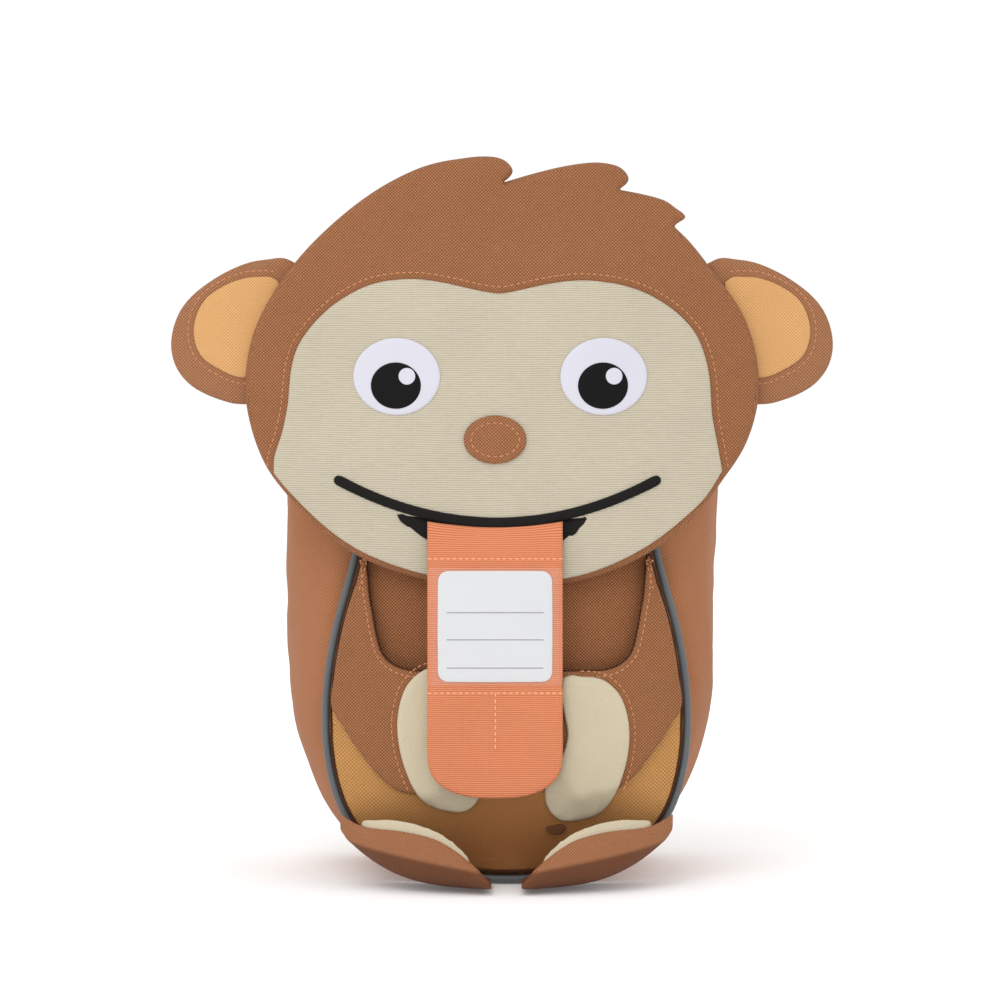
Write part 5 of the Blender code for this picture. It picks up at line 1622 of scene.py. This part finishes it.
@dataclass
class Head:
    """The padded head with its face, ears, eyes, nose and mouth.

    Attributes:
        pressure: Pressure that fills the head's padding.
        swell: The furthest that the padding stands out.
        seam_out: How far outside the face's edge its stitches run.
        seam_from: Height where they begin.
        slot_rise: How far the mouth's slot reaches up behind its tape.
        slot_margin: How far the lining reaches past the slot.
        ear_pressure: Pressure that fills an ear's padding.
        ear_swell: The furthest that it stands out.
        ear_seam_out: How far outside the tan cloth its stitches run.
        ear_seam_from: Distance from the middle where they begin.
        nose_seam_in: Distance of the nose's stitches from its edge.
        flap: The head once it is made.
        face: The face once it is made.
    """

    pressure: float = 3.0
    swell: float = 1.8 * MM
    seam_out: float = 2.3 * MM
    seam_from: float = 0.151
    slot_rise: float = 1.5 * MM
    slot_margin: float = 1.2 * MM
    ear_pressure: float = 2.0
    ear_swell: float = 0.8 * MM
    ear_seam_out: float = 2.1 * MM
    ear_seam_from: float = 0.082
    nose_seam_in: float = 2.6 * MM
    flap: Optional[bpy.types.Object] = None
    face: Optional[bpy.types.Object] = None

    def build(self, threads: Stitching) -> None:
        """Make the head's pieces.

        Args:
            threads: Gets the rows of stitches.
        """
        self.make_flap()
        self.make_face(threads)
        for side in Side:
            self.make_ear(side, threads)
            self.make_eye(side)
        self.make_nose(threads)
        self.make_mouth()

    def make_flap(self) -> None:
        """The padded head flap with its hair tufts."""
        outline = Outline.of("head_flap", soft_tips=True)
        flap = Patch("head_padding", outline, Carrier(["head_flap"]), Finish.HEAD, wall=5.6 * MM,
                     grid=3.4 * MM, edge=2.6 * MM, lift=-6.0 * MM, thick=True, relax=8)
        piece = flap.build()
        blown_up(piece, flap.rim_points, self.pressure, self.swell)
        subdivided(piece)
        self.flap = dressed(piece, ["head_flap"])

    def make_face(self, threads: Stitching) -> None:
        """The ribbed cream face.

        Args:
            threads: Gets the stitches round it.
        """
        outline = Outline.of("face_patch")
        ground = Carrier([self.flap])
        hole = outline[1].points
        middle = hole[:, 1].mean()
        across = np.abs(hole[:, 0] - hole[:, 0].mean())
        rise = self.slot_rise * (1 - 0.75 * (across / across.max()) ** 2)
        hole[:, 1] += np.where(hole[:, 1] > middle + 1 * MM, rise, 0)
        slot = Outline(outline[1].moved(self.slot_margin))
        lining = Patch("mouth_lining", [slot], ground, Finish.MOUTH, wall=0.5 * MM, edge=0.4 * MM,
                       lift=0.1 * MM).build()
        dressed(lining)
        declared_sheet([slot])
        self.face = Patch("face_canvas", outline, ground, Finish.FACE, wall=0.9 * MM, edge=0.9 * MM,
                          relax=8).build()
        dressed(self.face, ["face_patch"])
        declared_sheet(outline)
        points = outline[0].moved(self.seam_out)
        threads.along(cut(points, points[:, 1] > self.seam_from), ground)

    def make_ear(self, side: Side, threads: Stitching) -> None:
        """One padded ear with its tan inside.

        Args:
            side: Its side.
            threads: Gets the stitches round the tan cloth.
        """
        node, inner_node = "ear_" + side.value, "ear_inner_" + side.value
        outline = Outline.of(node)
        ear = Patch("ear_padding_" + side.value, outline, Carrier([node]), Finish.EAR, wall=3.6 * MM,
                    grid=2.6 * MM, edge=1.8 * MM, lift=-3.6 * MM, thick=True, relax=4)
        piece = ear.build()
        blown_up(piece, ear.rim_points, self.ear_pressure, self.ear_swell)
        dressed(piece, [node])
        inner = Outline.of(inner_node)
        tan = Patch("ear_cloth_" + side.value, inner, Carrier([piece]), Finish.EAR_TAN, wall=0.7 * MM,
                    edge=0.7 * MM, lift=0.1 * MM).build()
        dressed(tan, [inner_node])
        declared_sheet(inner)
        points = inner[0].moved(self.ear_seam_out)
        threads.along(cut(points, side.sign * points[:, 0] > self.ear_seam_from), Carrier([piece]))

    def make_eye(self, side: Side) -> None:
        """One printed eye with its raised rim.

        Args:
            side: Its side.
        """
        eye, black, spark = (kind + side.value for kind in ("eye_", "pupil_", "glint_"))
        ground = Carrier([self.face])
        white = Patch("eye_white_" + side.value, Outline.of(eye, 0.9 * MM), ground, Finish.WHITE,
                      wall=0.6 * MM, edge=1.3 * MM, lift=0.1 * MM, relax=8, seam=1.7 * MM,
                      groove=0.12 * MM, pucker=0.0).build()
        dressed(white, [eye])
        pupil = Patch("eye_pupil_" + side.value, Outline.of(black, 0.8 * MM), Carrier([white]),
                      Finish.BLACK, wall=0.2 * MM, edge=0.4 * MM, lift=0.05 * MM).build()
        dressed(pupil, [black])
        glint = Patch("eye_glint_" + side.value, Outline.of(spark, 0.6 * MM), Carrier([white, pupil]),
                      Finish.WHITE, wall=0.15 * MM, edge=0.3 * MM, lift=0.05 * MM).build()
        dressed(glint, [spark])

    def make_nose(self, threads: Stitching) -> None:
        """The oval nose.

        Args:
            threads: Gets the ring of stitches inside its edge.
        """
        outline = Outline.of("nose", 0.9 * MM)
        nose = Patch("nose_canvas", outline, Carrier([self.face]), Finish.NOSE, wall=0.9 * MM,
                     grid=1.6 * MM, edge=0.8 * MM, seam=self.nose_seam_in, groove=0.2 * MM,
                     puff=0.5 * MM).build()
        dressed(nose, ["nose"])
        declared_sheet(outline)
        threads.along(ring(outline[0].moved(-self.nose_seam_in)), Carrier([nose]))

    def make_mouth(self) -> None:
        """The black mouth band."""
        outline = Outline.of("mouth_band", 0.9 * MM)
        mouth = Patch("mouth_tape", outline, Carrier([self.face]), Finish.MOUTH, wall=0.8 * MM,
                      grid=1.2 * MM, edge=0.9 * MM, lift=0.1 * MM).build()
        dressed(mouth, ["mouth_band"])


@dataclass
class NameTag:
    """The tongue with its card under a clear window.

    Attributes:
        cut_size: Width and length that the tongue is cut to; not used.
        rows_up: Heights of its rows of stitches.
        rows_across_mm: Ends of those rows, across.
        middle_across: Where the row down its middle runs.
        middle_row: Top and bottom of that row.
        folds_up: Heights of the folds above and below the window.
        fold_half: Half a fold's width.
        fold_depth: A fold's depth.
        root_from: Height where the cloth starts to follow the slot's curve.
        root_over: Height over which it reaches the whole curve.
        rules_up: Heights of the lines on the card.
        rule_in: Distance of the lines' ends from the card's edges.
    """

    cut_size: tuple[float, float] = (0.0486, 0.0975)
    rows_up: tuple[float, ...] = (0.1198, 0.0718)
    rows_across_mm: tuple[float, float] = (-26.0, 21.0)
    middle_across: float = -2.4 * MM
    middle_row: tuple[float, float] = (0.0712, 0.0525)
    folds_up: tuple[float, ...] = (0.1165, 0.0743)
    fold_half: float = 0.7 * MM
    fold_depth: float = 0.35 * MM
    root_from: float = 0.123
    root_over: float = 7 * MM
    rules_up: tuple[float, ...] = (0.1006, 0.0909, 0.0808)
    rule_in: float = 3.2 * MM

    def build(self, threads: Stitching) -> None:
        """Make the tongue, card and window.

        Args:
            threads: Gets the rows of stitches.
        """
        tongue = self.make_tongue()
        card = self.make_card(tongue)
        window = Patch("clear_window", Outline.of("card_window", 1.2 * MM), Carrier([tongue, card]),
                       Finish.FILM, wall=0.3 * MM, edge=0.3 * MM, lift=0.12 * MM, relax=6).build()
        dressed(window, ["card_window"])
        ground = Carrier([tongue])
        xs = np.linspace(*self.rows_across_mm, 60) * MM
        for level in self.rows_up:
            threads.along(np.stack([xs, np.full_like(xs, level)], axis=1), ground)
        down = np.linspace(*self.middle_row, 24)
        threads.along(np.stack([np.full_like(down, self.middle_across), down], axis=1), ground)

    def make_tongue(self) -> bpy.types.Object:
        """The ribbed coral tongue, with its folds beside the window.

        Returns:
            The tongue.
        """
        outline = Outline.of("tongue")
        tongue = Patch("tongue_cloth", outline, Carrier(["tongue"]), Finish.TONGUE, wall=1.4 * MM,
                       grid=1.8 * MM, edge=1.0 * MM, lift=-1.5 * MM, relax=14).build()
        up = vertices(tongue)[:, 2]
        step = sum(self.fold_depth * np.exp(-((up - level) / self.fold_half) ** 2)
                   for level in self.folds_up)
        pushed(tongue, -step)
        spots = vertices(tongue)
        upper = np.clip((spots[:, 2] - self.root_from) / self.root_over, 0, 1) ** 2
        spots[:, 2] += upper * (((spots[:, 0] + 2.5 * MM) / (24 * MM)) ** 2 * 1.9 - 0.2) * MM
        set_vertices(tongue, spots)
        dressed(tongue, ["tongue"])
        abs(outline[0].area())
        return tongue

    def make_card(self, tongue: bpy.types.Object) -> bpy.types.Object:
        """The white card with its three ruled lines.

        Args:
            tongue: What it lies on.

        Returns:
            The card.
        """
        outline = Outline.of("name_card", 1.0 * MM)
        across = outline[0].points[:, 0]
        left, right = float(across.min() + self.rule_in), float(across.max() - self.rule_in)
        rules = tuple((level, left, right) for level in self.rules_up)
        stock = Smooth("smooth white card", "cdcfd1", roughness=0.5, grain_mm=0.25, mottle=0.01,
                       rules=rules)
        card = Patch("white_card", outline, Carrier([tongue]), stock, wall=0.4 * MM, edge=0.3 * MM,
                     lift=0.12 * MM).build()
        return dressed(card, ["name_card"])


@dataclass
class Carrying:
    """The shoulder straps with their adjusters, and the grab loop.

    Attributes:
        seam_in: Distance of the straps' stitches from their edges.
        seam_steps: Points of each row.
        end_in: Distance of the rows' ends from the straps' ends.
        band: Half the height over which a strap's edges are read.
    """

    seam_in: float = 2.6 * MM
    seam_steps: int = 60
    end_in: float = 3 * MM
    band: float = 4 * MM

    def build(self, threads: Stitching) -> None:
        """Make the straps and the loop.

        Args:
            threads: Gets the rows of stitches.
        """
        for side in Side:
            padded, flat = "shoulder_strap_" + side.value, "strap_webbing_" + side.value
            strap = soft_copy(padded, "strap_padding_" + side.value, Finish.STRAP)
            dressed(strap, [padded])
            self.edge_rows(strap, threads)
            webbing = soft_copy(flat, "adjuster_webbing_" + side.value, Finish.WEBBING, levels=1)
            dressed(webbing, [flat])
            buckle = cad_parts["strap_buckle_" + side.value]
            buckle.data.materials.clear()
            buckle.data.materials.append(Finish.PLASTIC.build())
        loop = soft_copy("grab_loop", "grab_loop_webbing", Finish.WEBBING)
        dressed(loop, ["grab_loop"])

    def edge_rows(self, strap: bpy.types.Object, threads: Stitching) -> None:
        """Sew a row along both edges of a strap.

        Args:
            strap: The strap.
            threads: Gets the rows.
        """
        spots = vertices(strap)
        surface = Carrier([strap])
        bottom, top = spots[:, 2].min() + self.end_in, spots[:, 2].max() - self.end_in
        levels = np.linspace(bottom, top, self.seam_steps)
        edges = []
        for level in levels:
            near = spots[np.abs(spots[:, 2] - level) < self.band]
            edges.append((near[:, 0].min(), near[:, 0].max()))
        lines = np.array(edges)
        for column, sign in ((0, 1), (1, -1)):
            padded = np.pad(lines[:, column], 3, mode="edge")
            smooth = np.convolve(padded, np.ones(7) / 7, mode="valid")
            row = np.stack([smooth + sign * self.seam_in, levels], axis=1)
            threads.along(row, surface, surface=Surface.BACK)


@dataclass
class Studio:
    """Floor, lights and camera.

    Attributes:
        elevation: The camera's height angle in degrees.
        aim: What the middle of the picture shows.
        view_width: Width of the picture at the aim.
        distance: The camera's distance.
        sensor: Width of the camera's sensor in mm.
        floor_half: Half the floor's width, far enough that its edge never shows.
        floor_glow: How much light of its own keeps the far floor as pale as the room.
        lit_at: What the lamps point at.
    """

    elevation: float = 5.0
    aim: tuple[float, float, float] = (-0.00072, -0.045, 0.1399)
    view_width: float = 0.36
    distance: float = 3.0
    sensor: float = 36.0
    floor_half: float = 60.0
    floor_glow: float = 0.08
    lit_at: tuple[float, float, float] = (0.0, 0.0, 0.12)

    def build(self) -> None:
        """Make the floor, lights, world and camera."""
        self.make_floor()
        self.make_lights()
        camera = placed("camera", bpy.data.cameras.new("camera"))
        camera.data.sensor_width = self.sensor
        camera.data.lens = self.sensor * self.distance / self.view_width
        tilt = math.radians(self.elevation)
        back = Vector((0, -math.cos(tilt), math.sin(tilt)))
        camera.location = Vector(self.aim) + back * self.distance
        camera.rotation_euler = (math.pi / 2 - tilt, 0, 0)
        camera.data.clip_end = 200.0
        bpy.context.scene.camera = camera
        bpy.context.scene.view_settings.view_transform = "Standard"

    def make_floor(self) -> None:
        """The plain pale floor."""
        mesh = bpy.data.meshes.new("floor")
        half = self.floor_half
        mesh.from_pydata([(-half, -half, 0), (half, -half, 0), (half, half, 0), (-half, half, 0)], [],
                         [(0, 1, 2, 3)])
        floor = placed("floor", mesh)
        white = Smooth("matt white studio floor", "f6f6f6", roughness=0.9, grain_mm=2.0, grain=0.0,
                       mottle=0.0).build()
        shader = white.node_tree.nodes["Principled BSDF"]
        shader.inputs["Emission Color"].default_value = (1.0, 1.0, 1.0, 1.0)
        shader.inputs["Emission Strength"].default_value = self.floor_glow
        mesh.materials.append(white)

    def make_lights(self) -> None:
        """A large soft key light above the camera, two side fills, a rear light and a bright room."""
        world = bpy.data.worlds.new("studio")
        bpy.context.scene.world = world
        world.use_nodes = True
        room = world.node_tree.nodes["Background"]
        room.inputs["Color"].default_value = (1.0, 1.0, 1.0, 1.0)
        room.inputs["Strength"].default_value = 1.0
        lights = [("key", (-0.35, -0.9, 1.05), 0.9, 4.5), ("fill_left", (-1.1, -0.5, 0.5), 0.8, 1.0),
                  ("fill_right", (1.1, -0.6, 0.5), 0.8, 1.0), ("rear", (0.2, 1.1, 0.9), 0.9, 2.0)]
        for name, place, size, power in lights:
            lamp = bpy.data.lights.new(name, "AREA")
            lamp.shape = "DISK"
            lamp.size = size
            lamp.energy = power
            light = placed(name, lamp)
            light.location = place
            way = Vector(self.lit_at) - Vector(place)
            light.rotation_euler = way.to_track_quat("-Z", "Y").to_euler()


def main() -> None:
    """Build the backpack's sub-assemblies in order, then the studio."""
    logging.basicConfig(level=logging.INFO, format="%(message)s")
    tree = StitchTree().build()
    brown = Stitching("brown_stitches", Finish.THREAD)
    coral = Stitching("coral_stitches", Finish.CORAL_THREAD, pitch=2.2 * MM, length=1.7 * MM)
    Bag().build(brown)
    Pocket().build(brown)
    Feet().build()
    Head().build(brown)
    NameTag().build(coral)
    Carrying().build(brown)
    brown.sew(tree)
    coral.sew(tree)
    Studio().build()


if __name__ == "__main__":
    main()
